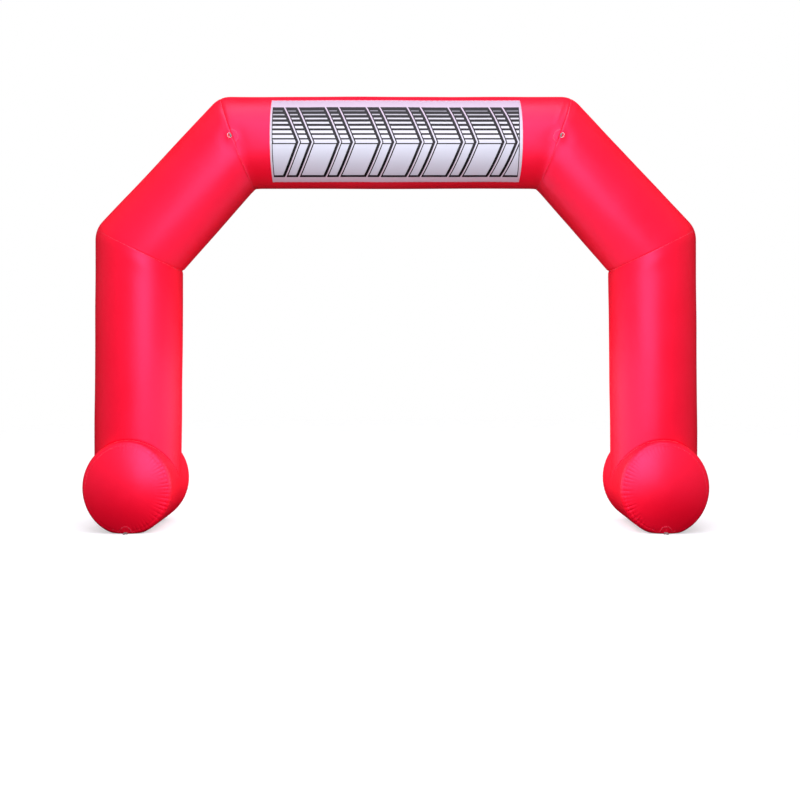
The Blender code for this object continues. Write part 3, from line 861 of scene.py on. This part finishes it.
def on_cloth(cloth, angles, along, lift, end=0):
    """Points at a lift over a grid of cloth, and the normals there. end 0 is the first seam, -1 the last."""
    points, normals = [grid if end == 0 else grid[::-1] for grid in (cloth.points, cloth.normals)]
    angles, along = np.broadcast_arrays(angles, along)
    columns = points.shape[1]
    row = np.interp(along, cloth.near, np.arange(len(cloth.near)))
    column = (angles % math.tau) / math.tau * columns
    r, c = np.floor(row).astype(int), np.floor(column).astype(int)
    fr, fc = (row - r)[..., None], (column - c)[..., None]
    c, d = c % columns, (c + 1) % columns
    blended = []
    for grid in (points, normals):
        near = grid[r, c] * (1 - fc) + grid[r, d] * fc
        far = grid[r + 1, c] * (1 - fc) + grid[r + 1, d] * fc
        blended.append(near * (1 - fr) + far * fr)
    normal = unit(blended[1])
    return blended[0] + normal * np.asarray(lift)[..., None], normal


spot, normal = on_cloth(cloths["crossbeam"], FRONT, 0.05, 0.0)
print("50 mm in from the left corner seam the front cloth is at", spot.round(3).tolist())

# %% [markdown]
# ## Sewing thread
#
# The seams are sewn with bonded polyester thread, a paler pink than the cloth, and each stitch
# rests between two needle holes like a short thick dash. A stitch is a thin spindle, bowed so that
# both ends sink into the cloth. A round curve would look like a cord laid on the seam, so the spindle
# is copied along a line of points instead, and each row of copies is one mesh.

# %% Thread finish
# The darker pink is painted shade, laid in the grooves between the plies of the twist.
THREAD_PINK, THREAD_GROOVE_SHADE = "#F58AA6", "#E56D8C"
TWIST_PITCH = 0.0016  # along the thread from one ply to the next, drawn twice as coarse
WAVES_PER_UNIT = 10 * math.sqrt(3) / math.tau  # how many slanted bands a wave texture draws at scale 1


def bonded_thread():
    finish, tree = new_finish("bonded polyester thread")
    place = node(tree, "TexCoord").outputs["Object"]
    scale = 1 / (TWIST_PITCH * WAVES_PER_UNIT)
    bands = {"bands_direction": "DIAGONAL", "Vector": place, "Scale": scale, "Distortion": 1.0}
    plies = node(tree, "TexWave", **bands).outputs[1]
    # Where the ply bands sink, in the bump's grooves, the thread gets the darker pink: painted shade.
    pink_and_groove_shade = {"_6": linear(THREAD_GROOVE_SHADE), "_7": linear(THREAD_PINK)}
    tone = node(tree, "Mix", data_type="RGBA", _0=plies, **pink_and_groove_shade).outputs[2]
    round_plies = node(tree, "Bump", Strength=0.4, Distance=0.0002, Height=plies)
    skin = node(tree, "BsdfPrincipled", Base_Color=tone, Roughness=0.55, Normal=round_plies)
    node(tree, "OutputMaterial", Surface=skin)
    return finish


thread_finish = bonded_thread()
print("plies drawn every", 1000 * TWIST_PITCH, "mm")

# %% Lay a row of stitches
STITCH, STITCH_PITCH = 0.0052, 0.0075
THREAD_RADIUS, THREAD_SIDES = 0.0006, 5
LOOK_AHEAD = 0.003
SPINDLE = (  # along, thick, up
    (-0.5, 0.0, -1.2),
    (-0.3, 0.9, 0.0),
    (0.0, 1.0, 0.35),
    (0.3, 0.9, 0.0),
    (0.5, 0.0, -1.2),
)


def stitches(spots, normals, closed):
    """Vertices and faces of stitches laid at a pitch along a line of spots on the cloth."""
    line, over = [np.vstack([part, part[:1]]) if closed else part for part in (spots, normals)]
    reach = np.concatenate([[0], np.linalg.norm(np.diff(line, axis=0), axis=1).cumsum()])
    count = max(int(reach[-1] / STITCH_PITCH), 1)
    at = (np.arange(count) + 0.5) * reach[-1] / count
    middle, up, ahead, behind = [
        np.stack([np.interp(at + shift, reach, table[:, k]) for k in range(3)], axis=-1)
        for table, shift in ((line, 0), (over, 0), (line, LOOK_AHEAD), (line, -LOOK_AHEAD))
    ]
    way, up = unit(ahead - behind), unit(up)
    side = np.cross(way, up)
    turns = np.arange(THREAD_SIDES) * math.tau / THREAD_SIDES
    ring = np.cos(turns)[:, None, None] * side + np.sin(turns)[:, None, None] * up
    rings = []
    for along, thick, raised in SPINDLE:
        centre = middle + way * along * STITCH + up * raised * THREAD_RADIUS
        rings.append(centre + ring * max(thick, 0.05) * THREAD_RADIUS)
    vertices = np.stack(rings).transpose(2, 0, 1, 3).reshape(-1, 3)
    r = np.arange(len(SPINDLE) - 1)[:, None] * THREAD_SIDES
    c, n = np.arange(THREAD_SIDES), (np.arange(THREAD_SIDES) + 1) % THREAD_SIDES
    one = np.stack([r + c, r + THREAD_SIDES + c, r + THREAD_SIDES + n, r + n], axis=-1).reshape(-1, 4)
    faces = one + (np.arange(count) * len(SPINDLE) * THREAD_SIDES)[:, None, None]
    return vertices, faces.reshape(-1, 4)


def sewn(name, lines, closed=True):
    """One mesh of all the stitches along several lines of (spots, normals)."""
    vertices, faces, used = [], [], 0
    for spots, normals in lines:
        some, more = stitches(spots, normals, closed)
        vertices.append(some)
        faces.append(more + used)
        used += len(some)
    mesh = bpy.data.meshes.new(name)
    mesh.from_pydata(np.vstack(vertices).tolist(), [], np.vstack(faces).tolist())
    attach(placed(mesh, thread_finish), "root")
    print(name, "has", used // (len(SPINDLE) * THREAD_SIDES), "stitches")


print("a stitch is", 1000 * STITCH, "mm long, one every", 1000 * STITCH_PITCH, "mm")

# %% [markdown]
# ## Where the thread shows
#
# Thread shows as one broken line in the groove of every seam: the four mitres, the saddles under
# the legs and the ring seams of the feet. It also holds down the hem of the banner.

# %% Sew the seams
SEWING_ANGLES = np.arange(1400) * math.tau / 1400
THREAD_SETBACK, THREAD_LIFT = 0.0022, 0.0005


def seam_line(piece, end=0):
    return on_cloth(cloths[piece], SEWING_ANGLES, THREAD_SETBACK, THREAD_LIFT, end)


sewn("corner_stitches", [seam_line("slope_left"), seam_line("slope_right")])
sewn("knee_stitches", [seam_line("leg_left"), seam_line("leg_right")])
sewn("saddle_stitches", [seam_line("leg_left", end=-1), seam_line("leg_right", end=-1)])
sewn("ring_seam_stitches", [seam_line(name) for name in cloths if name.startswith("foot_end")])

# %% Sew the banner's hem
HEM_INSET, HEM_THREAD_LIFT = 0.012, 0.0034
SPOTS_PER_SIDE = 200


def hem_line():
    wide, deep = BANNER_HALF_WIDTH - HEM_INSET, BANNER_DEPTH - HEM_INSET
    corners = ((-wide, HEM_INSET), (wide, HEM_INSET), (wide, deep), (-wide, deep), (-wide, HEM_INSET))
    steps = np.linspace(0, 1, SPOTS_PER_SIDE)[:-1, None]
    ends = [np.array(corner) for corner in corners]
    line = np.vstack([start + (stop - start) * steps for start, stop in zip(ends, ends[1:])])
    turn = BANNER_LOW + line[:, 1] / BEAM_RADIUS
    spots = beam_front(line[:, 0], turn, np.full(len(line), HEM_THREAD_LIFT))
    return spots, np.stack([np.zeros(len(line)), -np.sin(turn), -np.cos(turn)], axis=-1)


sewn("banner_stitches", [hem_line()])

# %% [markdown]
# ## Tether patches
#
# Where a guy rope pulls, a half-round patch of the same cloth is sewn over the seam's edge with two
# rows of stitches, about 5 mm apart. It is thin, so only its edge and its stitching show. The patch
# is a grid of half circles laid on the finished cloth, because a flat piece would cut through the
# puckers. Its last row comes down to the cloth, which rounds the edge, and the stitch rows press it in.

# %% Make the patches
PATCH_HALF_WIDTH, PATCH_DEPTH, PATCH_SETBACK = 0.068, 0.065, 0.002
PATCH_LIFT = 0.0006
PATCH_ROUNDED = 0.03  # share of the way out that the rounded edge takes
PATCH_ROWS, PATCH_COLUMNS, PATCH_START = 22, 61, 0.002
ROW_END, ROW_SPOTS = 0.03, 120  # a stitch row stops this angle short of the patch's straight edge
STITCH_ROWS, STITCH_DENT = (0.92, 0.84), 0.0005  # shares of the way out from the straight edge's middle


def patch_spots(facing, radius, reach, turns):
    """Angles and distances of spots on a patch: reach is the share from the middle out."""
    along_seam = PATCH_HALF_WIDTH * reach * np.cos(turns)
    return facing + along_seam / radius, PATCH_SETBACK + PATCH_DEPTH * reach * np.sin(turns)


def patch(name, cloth, facing, radius, end, finish):
    """Lays a patch on the cloth and gives the lines of its stitch rows."""
    shares, half_turn = np.linspace(PATCH_START, 1.0, PATCH_ROWS), np.linspace(0, math.pi, PATCH_COLUMNS)
    reach, turns = np.meshgrid(shares, half_turn, indexing="ij")
    pressed = sum(bump(reach, row, 0.02) for row in STITCH_ROWS)
    rounded = ((reach - 1 + PATCH_ROUNDED) / PATCH_ROUNDED).clip(0, 1)
    thickness = CLOTH_THICKNESS * np.sqrt(np.clip(1 - rounded**2, 0, 1))
    lift = PATCH_LIFT * (reach < 1) + thickness - STITCH_DENT * pressed
    points, _ = on_cloth(cloth, *patch_spots(facing, radius, reach, turns), lift, end)
    spread = [PATCH_HALF_WIDTH * reach * np.cos(turns), PATCH_DEPTH * reach * np.sin(turns)]
    made = grid_object(f"{name}_cloth", points, np.stack(spread, axis=-1), finish, wraps=False)
    settle(made, name)
    turn = np.linspace(ROW_END, math.pi - ROW_END, ROW_SPOTS)
    spots = [patch_spots(facing, radius, row, turn) for row in STITCH_ROWS]
    return [on_cloth(cloth, *spot, PATCH_LIFT + CLOTH_THICKNESS, end) for spot in spots]


patch_rows = []
for face, facing, angle in FACES:
    for side, end in (("left", 0), ("right", -1)):
        piece = f"corner_{side}_{face}_patch"
        patch_rows += patch(piece, cloths["crossbeam"], angle, CORNER.half_depth, end, cloth_finish)
        panel = cloths[f"foot_end_{side}_{face}"]
        patch_rows += patch(f"foot_{side}_{face}_patch", panel, 0.0, RIM, 0, cloth_finish)
sewn("patch_stitches", patch_rows, closed=False)

# %% [markdown]
# ## Webbing tabs
#
# Each tab is a strap of grey polypropylene webbing, 37 mm wide, folded over the straight bar of its
# ring and sewn into the seam. Polypropylene webbing is woven in fine ribs that run across the strap,
# dull and a little furry at its cut edges. A strap has a flat oval section that is swept along its
# fold.

# %% Webbing finish
RIB_PITCH = 0.0022  # from rib to rib across the strap
FUZZ_PER_METRE = 900.0  # a tuft of loose fibre is about 1.1 mm long
WEBBING_DARK, WEBBING_PALE = "#554C49", "#8A7F7A"


def woven_webbing():
    finish, tree = new_finish("polypropylene webbing")
    flat = node(tree, "UVMap", uv_map="cut")
    turns = node(tree, "VectorMath", operation="SCALE", _0=flat, Scale=math.tau / RIB_PITCH)
    axes = node(tree, "SeparateXYZ", _0=turns)
    ribs = node(tree, "Math", operation="SINE", _0=axes.outputs[1])
    yarns = node(tree, "Math", operation="ADD", _0=axes.outputs[0], _1=axes.outputs[1])
    yarns = node(tree, "Math", operation="SINE", _0=yarns)
    yarns = node(tree, "Math", operation="MULTIPLY", _0=yarns, _1=0.4)
    fuzz = node(tree, "TexNoise", Vector=flat, Scale=FUZZ_PER_METRE, Detail=3.0)
    height = node(tree, "Math", operation="ADD", _0=ribs, _1=yarns)
    height = node(tree, "Math", operation="ADD", _0=height, _1=fuzz)
    greys = {"_6": linear(WEBBING_DARK), "_7": linear(WEBBING_PALE)}
    tone = node(tree, "Mix", data_type="RGBA", _0=fuzz, **greys).outputs[2]
    raised = node(tree, "Bump", Strength=0.7, Distance=0.0004, Height=height)
    look = {"Base_Color": tone, "Roughness": 0.8, "Normal": raised}
    node(tree, "OutputMaterial", Surface=node(tree, "BsdfPrincipled", Sheen_Weight=0.3, **look))
    return finish


webbing_finish = woven_webbing()
print("ribs every", 1000 * RIB_PITCH, "mm")

# %% [markdown]
# ## Polished steel
#
# The rings are bent from drawn steel wire and polished. A metal has no colour under its shine, so the
# eye sees only the surround in it, spread a little by fine scratches. They are drawn as uneven gloss
# with a very low bump, at the steel's own pale grey.

# %% Polished steel finish
STEEL_GREY, STEEL_PALE = "#C9C7C6", "#E3E1DF"
SCRATCHES_PER_METRE = 420.0  # a patch of scratches is about 2.4 mm across
STEEL_GLOSS = {"From_Min": 0.3, "From_Max": 0.7, "To_Min": 0.14, "To_Max": 0.26}


def polished_steel():
    finish, tree = new_finish("polished steel wire")
    place = node(tree, "TexCoord").outputs["Object"]
    scratches = node(tree, "TexNoise", Vector=place, Scale=SCRATCHES_PER_METRE, Detail=6.0)
    gloss = node(tree, "MapRange", Value=scratches, **STEEL_GLOSS)
    greys = {"_6": linear(STEEL_GREY), "_7": linear(STEEL_PALE)}
    tone = node(tree, "Mix", data_type="RGBA", _0=scratches, **greys).outputs[2]
    worn = node(tree, "Bump", Strength=0.15, Distance=0.0001, Height=scratches)
    skin = node(tree, "BsdfPrincipled", Base_Color=tone, Metallic=1.0, Roughness=gloss, Normal=worn)
    node(tree, "OutputMaterial", Surface=skin)
    return finish


steel_finish = polished_steel()
print("steel from", STEEL_GREY, "to", STEEL_PALE)

# %% [markdown]
# ## Sweeping a section along a path
#
# Both the strap and the wire are one section carried along a path: a flat oval along the fold, a
# circle along the D. A curve object with a bevel could do the same, but a grid brings its flat cut
# with it, which the ribs need. Each works in a small frame of its own, whose x runs away from the
# seam and whose y runs along it, and is then turned into place.

# %% Sweep the strap and the ring
TAB_HALF_WIDTH, WEBBING = 0.0185, 0.0015
WIRE_RADIUS = 0.0025
RING_HALF_WIDTH, RING_DEPTH, RING_CORNER = 0.0235, 0.026, 0.0035
RING_LENGTH = 0.14  # along the wire, for the flat cut
TAB_REACH = 0.0125
TAB_EYE = WIRE_RADIUS + 0.0004
TAB_ROOT = -0.001  # the strap starts this far inside the seam
EDGE_ROUND, FRAY, FRAYS_PER_METRE = 0.0004, 0.0004, 1900
STRAP_SIDES, STRAP_WIDE_POWER, STRAP_THICK_POWER = 44, 0.18, 0.55  # powers below 1 square an oval up
WIRE_SIDES = 18


def strap_grid():
    """A webbing strap from the seam, round the ring's bar and back, in its own frame."""
    radius = TAB_EYE + WEBBING / 2
    neck = math.asin(WEBBING / 2 / radius)
    round_bar = np.linspace(math.pi - neck, -(math.pi - neck), 37)
    head = np.stack([TAB_REACH + radius * np.cos(round_bar), radius * np.sin(round_bar)], axis=-1)
    start, stop = np.array((TAB_ROOT, WEBBING / 2)), np.array((TAB_ROOT, -WEBBING / 2))
    steps = np.linspace(0, 1, 7)[:-1, None]
    path = np.vstack([start + (head[0] - start) * steps, head, stop + (head[-1] - stop) * steps[::-1]])
    way = unit(np.gradient(path, axis=0))
    turns = np.arange(STRAP_SIDES) * math.tau / STRAP_SIDES
    half = TAB_HALF_WIDTH - EDGE_ROUND
    wide = np.sign(np.cos(turns)) * np.abs(np.cos(turns)) ** STRAP_WIDE_POWER * half
    thick = np.sign(np.sin(turns)) * np.abs(np.sin(turns)) ** STRAP_THICK_POWER * (WEBBING / 2 - 0.0001)
    reach = np.concatenate([[0], np.linalg.norm(np.diff(path, axis=0), axis=1).cumsum()])[:, None]
    frayed = FRAY * np.sin(reach * FRAYS_PER_METRE) * np.sign(wide) * (np.abs(wide) > 0.95 * half)
    x = path[:, :1] - way[:, 1:] * thick
    z = path[:, 1:] + way[:, :1] * thick
    grid = np.stack([x, np.broadcast_to(wide + frayed, x.shape), z], axis=-1)
    return grid, np.stack(np.broadcast_arrays(np.append(wide, wide[0]), reach), axis=-1)


def ring_grid():
    """A bent wire D: a straight bar, two small corners and an oval bow, in its own frame."""
    corner = np.linspace(-math.pi / 2, 0, 9)
    side = RING_HALF_WIDTH - RING_CORNER * (1 - np.cos(corner))
    right = np.stack([RING_CORNER + RING_CORNER * np.sin(corner), side], axis=-1)
    bow = np.linspace(0, math.pi, 42)[1:-1]
    rise = RING_CORNER + (RING_DEPTH - RING_CORNER) * np.sin(bow)
    top = np.stack([rise, RING_HALF_WIDTH * np.cos(bow)], axis=-1)
    left = right[::-1] * (1, -1)
    path = np.vstack([right, top, left, np.linspace(left[-1], right[0], 14)[1:-1]])
    way = unit(np.roll(path, -1, axis=0) - np.roll(path, 1, axis=0))
    turns = np.arange(WIRE_SIDES) * math.tau / WIRE_SIDES
    x = path[:, :1] - way[:, 1:] * np.cos(turns) * WIRE_RADIUS
    y = path[:, 1:] + way[:, :1] * np.cos(turns) * WIRE_RADIUS
    grid = np.stack([x, y, np.broadcast_to(np.sin(turns) * WIRE_RADIUS, x.shape)], axis=-1)
    grid = np.vstack([grid, grid[:1]])
    reach = np.linspace(0, RING_LENGTH, len(grid))[:, None]
    around = np.append(turns, math.tau) * WIRE_RADIUS
    return grid, np.stack(np.broadcast_arrays(around, reach), axis=-1)


print("strap of", strap_grid()[0].shape[:2], "points, ring of", ring_grid()[0].shape[:2])

# %% [markdown]
# ## Tabs and rings in place
#
# On a corner the tab lies over the seam and points down the slope, and the ring lifts off the cloth
# a little further. Under a foot the tab comes out of the bottom of the ring seam and the ring lies
# forward on the ground.

# %% Put the tabs and rings in place
CORNER_LIFTS = (math.radians(18), math.radians(28))  # of the tab and of the ring
FOOT_TURNS = (math.radians(45), math.radians(8))
GAP = 0.0003
DOWN, RIGHT = np.array((0, 0, -1.0)), np.array((1.0, 0, 0))


def turned(grid, origin, forward, across):
    up = unit(np.cross(forward, across))
    return origin + grid[..., :1] * forward + grid[..., 1:2] * across + grid[..., 2:] * up


def tether(name, root, across, tab_way, ring_way):
    grid, flat = strap_grid()
    strap = grid_object(f"{name}_tab_strap", turned(grid, root, tab_way, across), flat, webbing_finish)
    settle(strap, f"{name}_tab")
    grid, flat = ring_grid()
    grid = turned(grid, root + tab_way * TAB_REACH, ring_way, across)
    wire = grid_object(f"{name}_ring_wire", grid, flat, steel_finish)
    settle(wire, f"{name}_ring")


for side, sign, place in SIDES:
    corner = place(CORNER)
    for face, facing, angle in FACES:
        outward = np.array((0, facing, 0.0))
        up_seam = unit(np.array((corner.outer_x - corner.inner_x, 0, corner.outer_z - corner.inner_z)))
        away = np.array((sign * up_seam[2], 0, -sign * up_seam[0]))
        root = np.array(((corner.inner_x + corner.outer_x) / 2, 0, (corner.inner_z + corner.outer_z) / 2))
        root = root + outward * (corner.half_depth + GAP * 2 + WEBBING) + away * GAP
        ways = [away * math.cos(lift) + outward * math.sin(lift) for lift in CORNER_LIFTS]
        tether(f"corner_{side}_{face}", root, up_seam, *ways)
        root = np.array((sign * FOOT_X, facing * (RING_Y + WEBBING * 2), FOOT_Z - RIM))
        ways = [outward * math.cos(turn) + DOWN * math.sin(turn) for turn in FOOT_TURNS]
        tether(f"foot_{side}_{face}", root, RIGHT, *ways)
print("tethers made:", len(SIDES) * len(FACES) * 2)

# %% [markdown]
# ## Camera
#
# The arch is looked at level, from standing eye height and from almost straight in front, through a
# 50 mm lens. A camera that stays level keeps the legs upright, so the view is moved down with the
# lens shift and not by tilting. Plain display colours are used, which keep a saturated red as it is.

# %% Place the camera
EYE = (0.0, -11.08, 1.801)
SHIFT_X, SHIFT_Y = 0.00525, -0.0687
camera_data = bpy.data.cameras.new("camera")
camera_data.lens = 50
camera_data.sensor_width = 36
camera_data.shift_x = SHIFT_X
camera_data.shift_y = SHIFT_Y
camera = bpy.data.objects.new("camera", camera_data)
camera.location = EYE
camera.rotation_euler = (math.pi / 2, 0, 0)
bpy.context.scene.collection.objects.link(camera)
bpy.context.scene.camera = camera
bpy.context.scene.view_settings.view_transform = "Standard"
print("camera", -EYE[1], "m away")

# %% [markdown]
# ## Floor and card
#
# The floor is matt pale paint that fades into the white surround. Red cloth over a white floor would
# be lit strongly from below, so only the camera sees this floor. A grey card just under it gives the
# bounce in its place. Round the feet the card is near black, a painted shadow that keeps their
# undersides deep, and it is a pale warm grey elsewhere, under the beam.

# %% Lay the floor and the card
FLOOR_SIDE = 90
FLOOR_DEPTH, CARD_DEPTH = 0.001, 0.002
FLOOR_PAINT, FLOOR_GLOW = "#C9C9CB", 0.45
FLOOR_FADE = {"From_Min": 4.0, "From_Max": 17.0}  # from the middle of the arch outwards
# The near black round each foot is a painted shadow on the card, which darkens the feet's undersides.
CARD_SHADOW_BLACK, CARD_PALE = "#101010", "#A69E96"
CARD_SHADOW_FADE = {"From_Min": 0.7, "From_Max": 1.9}  # from the middle of each foot outwards


def laid(name, depth, finish):
    """A wide level plane a little under the ground, which belongs to the stage."""
    bpy.ops.mesh.primitive_plane_add(size=FLOOR_SIDE, location=(0, 0, -depth))
    made = bpy.context.object
    made.name = name
    made.data.materials.append(finish)
    made.visible_glossy = False
    return made


def matt_paint():
    finish, tree = new_finish("matt floor paint")
    place = node(tree, "TexCoord").outputs["Object"]
    reach = node(tree, "VectorMath", operation="LENGTH", _0=place).outputs["Value"]
    fade = node(tree, "MapRange", interpolation_type="SMOOTHSTEP", Value=reach, **FLOOR_FADE)
    glow = {"Emission_Color": linear("#FFFFFF"), "Emission_Strength": FLOOR_GLOW}
    paint = node(tree, "BsdfPrincipled", Base_Color=linear(FLOOR_PAINT), Roughness=0.9, **glow)
    both = node(tree, "MixShader", _0=fade, _1=paint, _2=node(tree, "BsdfTransparent"))
    node(tree, "OutputMaterial", Surface=both)
    return finish


def grey_card():
    finish, tree = new_finish("grey card")
    place = node(tree, "TexCoord").outputs["Object"]
    half = node(tree, "VectorMath", operation="ABSOLUTE", _0=place)
    oval = node(tree, "VectorMath", operation="MULTIPLY", _0=half, _1=(1.0, 0.5, 0.0))
    reach = node(tree, "VectorMath", operation="DISTANCE", _0=oval, _1=(FOOT_X, 0.0, 0.0))
    # Close to each foot the card turns near black: its painted shadow.
    near = node(tree, "MapRange", Value=reach.outputs["Value"], **CARD_SHADOW_FADE)
    greys = {"_6": linear(CARD_SHADOW_BLACK), "_7": linear(CARD_PALE)}
    tone = node(tree, "Mix", data_type="RGBA", _0=near, **greys).outputs[2]
    node(tree, "OutputMaterial", Surface=node(tree, "BsdfDiffuse", Color=tone))
    return finish


laid("floor", FLOOR_DEPTH, matt_paint()).visible_diffuse = False
laid("grey_card", CARD_DEPTH, grey_card()).visible_camera = False
print("floor and card", FLOOR_SIDE, "m square")

# %% [markdown]
# ## Surround and lights
#
# The light is plain soft studio light. The surround is white to the eye, and as a lamp it is dim
# below and even above. A wide panel overhead lights the tops of the tubes, a big panel in front
# lights their faces, and a smaller one in the passage the middle of the beam. The pink highlights
# along the tubes come from sheens, panels that only glossy cloth reflects, and a weak fill beside
# each leg keeps the lower cloth from going dull.

# %% Light the surround
SKY_STEPS = ((0.0, 0.3), (0.5, 1.0))  # straight down, and level; it stays even above
SKY_TINT = (0.95, 0.97, 1.0)


def surround():
    world = bpy.data.worlds.new("surround")
    bpy.context.scene.world = world
    world.use_nodes = True
    world.cycles_visibility.glossy = False
    tree = world.node_tree
    tree.nodes.clear()
    height = node(tree, "SeparateXYZ", _0=node(tree, "TexCoord").outputs["Generated"]).outputs[2]
    share = node(tree, "MapRange", Value=height, From_Min=-1.0, From_Max=1.0)
    stops = [(place, (*[value * tint for tint in SKY_TINT], 1.0)) for place, value in SKY_STEPS]
    lighting = node(tree, "Background", _0=node(tree, "ValToRGB", stops, _0=share), Strength=1.0)
    backdrop = node(tree, "Background", _0=linear("#FFFFFF"), Strength=1.0)
    seen = node(tree, "LightPath").outputs[0]
    both = node(tree, "MixShader", _0=seen, _1=lighting, _2=backdrop)
    node(tree, "OutputWorld", Surface=both)


surround()
print("surround from", SKY_STEPS[0][1], "below to", SKY_STEPS[-1][1], "above")

# %% Set the panels
COOL_WHITE, WHITE, SHEEN_WHITE, WARM_WHITE = "#F3F4FF", "#F6F4FF", "#F8F4FF", "#FFF2F6"


def panel_light(name, place, target, size, power, colour, diffuse=True, glossy=True):
    """A soft panel at a place that faces a target, level across. The power is in watts."""
    data = bpy.data.lights.new(name, "AREA")
    data.shape = "RECTANGLE"
    data.size, data.size_y = size
    data.energy = power
    data.color = linear(colour)[:3]
    lamp = bpy.data.objects.new(name, data)
    lamp.location = place
    way = np.array(target) - np.array(place)
    tilt = math.acos(-way[2] / np.linalg.norm(way))
    lamp.rotation_euler = (tilt, 0, math.atan2(way[1], way[0]) - math.pi / 2)
    lamp.visible_camera = False
    lamp.visible_diffuse = diffuse
    lamp.visible_glossy = glossy
    bpy.context.scene.collection.objects.link(lamp)


panel_light("overhead", (0, -2.9, 8.8), (0, -0.4, 3), (8, 7), 560, COOL_WHITE)
panel_light("front", (0, -13.0, 4.8), (0, 0, 2.2), (7, 7), 250, WHITE)
panel_light("passage", (0, -5.0, 2.8), (0, 0, 2.4), (4, 4), 110, WHITE)
panel_light("passage_sheen", (0, -5.0, 3.0), (0, 0, 2.6), (4, 4), 110, WHITE, diffuse=False)
panel_light("upper_sheen", (0, -9.0, 8.2), (0, 0, 2.2), (9, 4.5), 420, WHITE, diffuse=False)
for side, sign, power in (("left", -1, 52), ("right", 1, 68)):
    near, far, size = (sign * 0.05, -1.6, 1.1), (sign * 2.5, -1.0, 1.1), (5.6, 2.2)
    panel_light(f"{side}_sheen", near, far, size, power, SHEEN_WHITE, diffuse=False)
    near, far, size = (sign * 1.2, -0.2, 0.9), (sign * 2.6, -0.2, 0.7), (3.0, 1.5)
    panel_light(f"{side}_fill", near, far, size, 26, WARM_WHITE, glossy=False)
print("lights set:", len(bpy.data.lights))
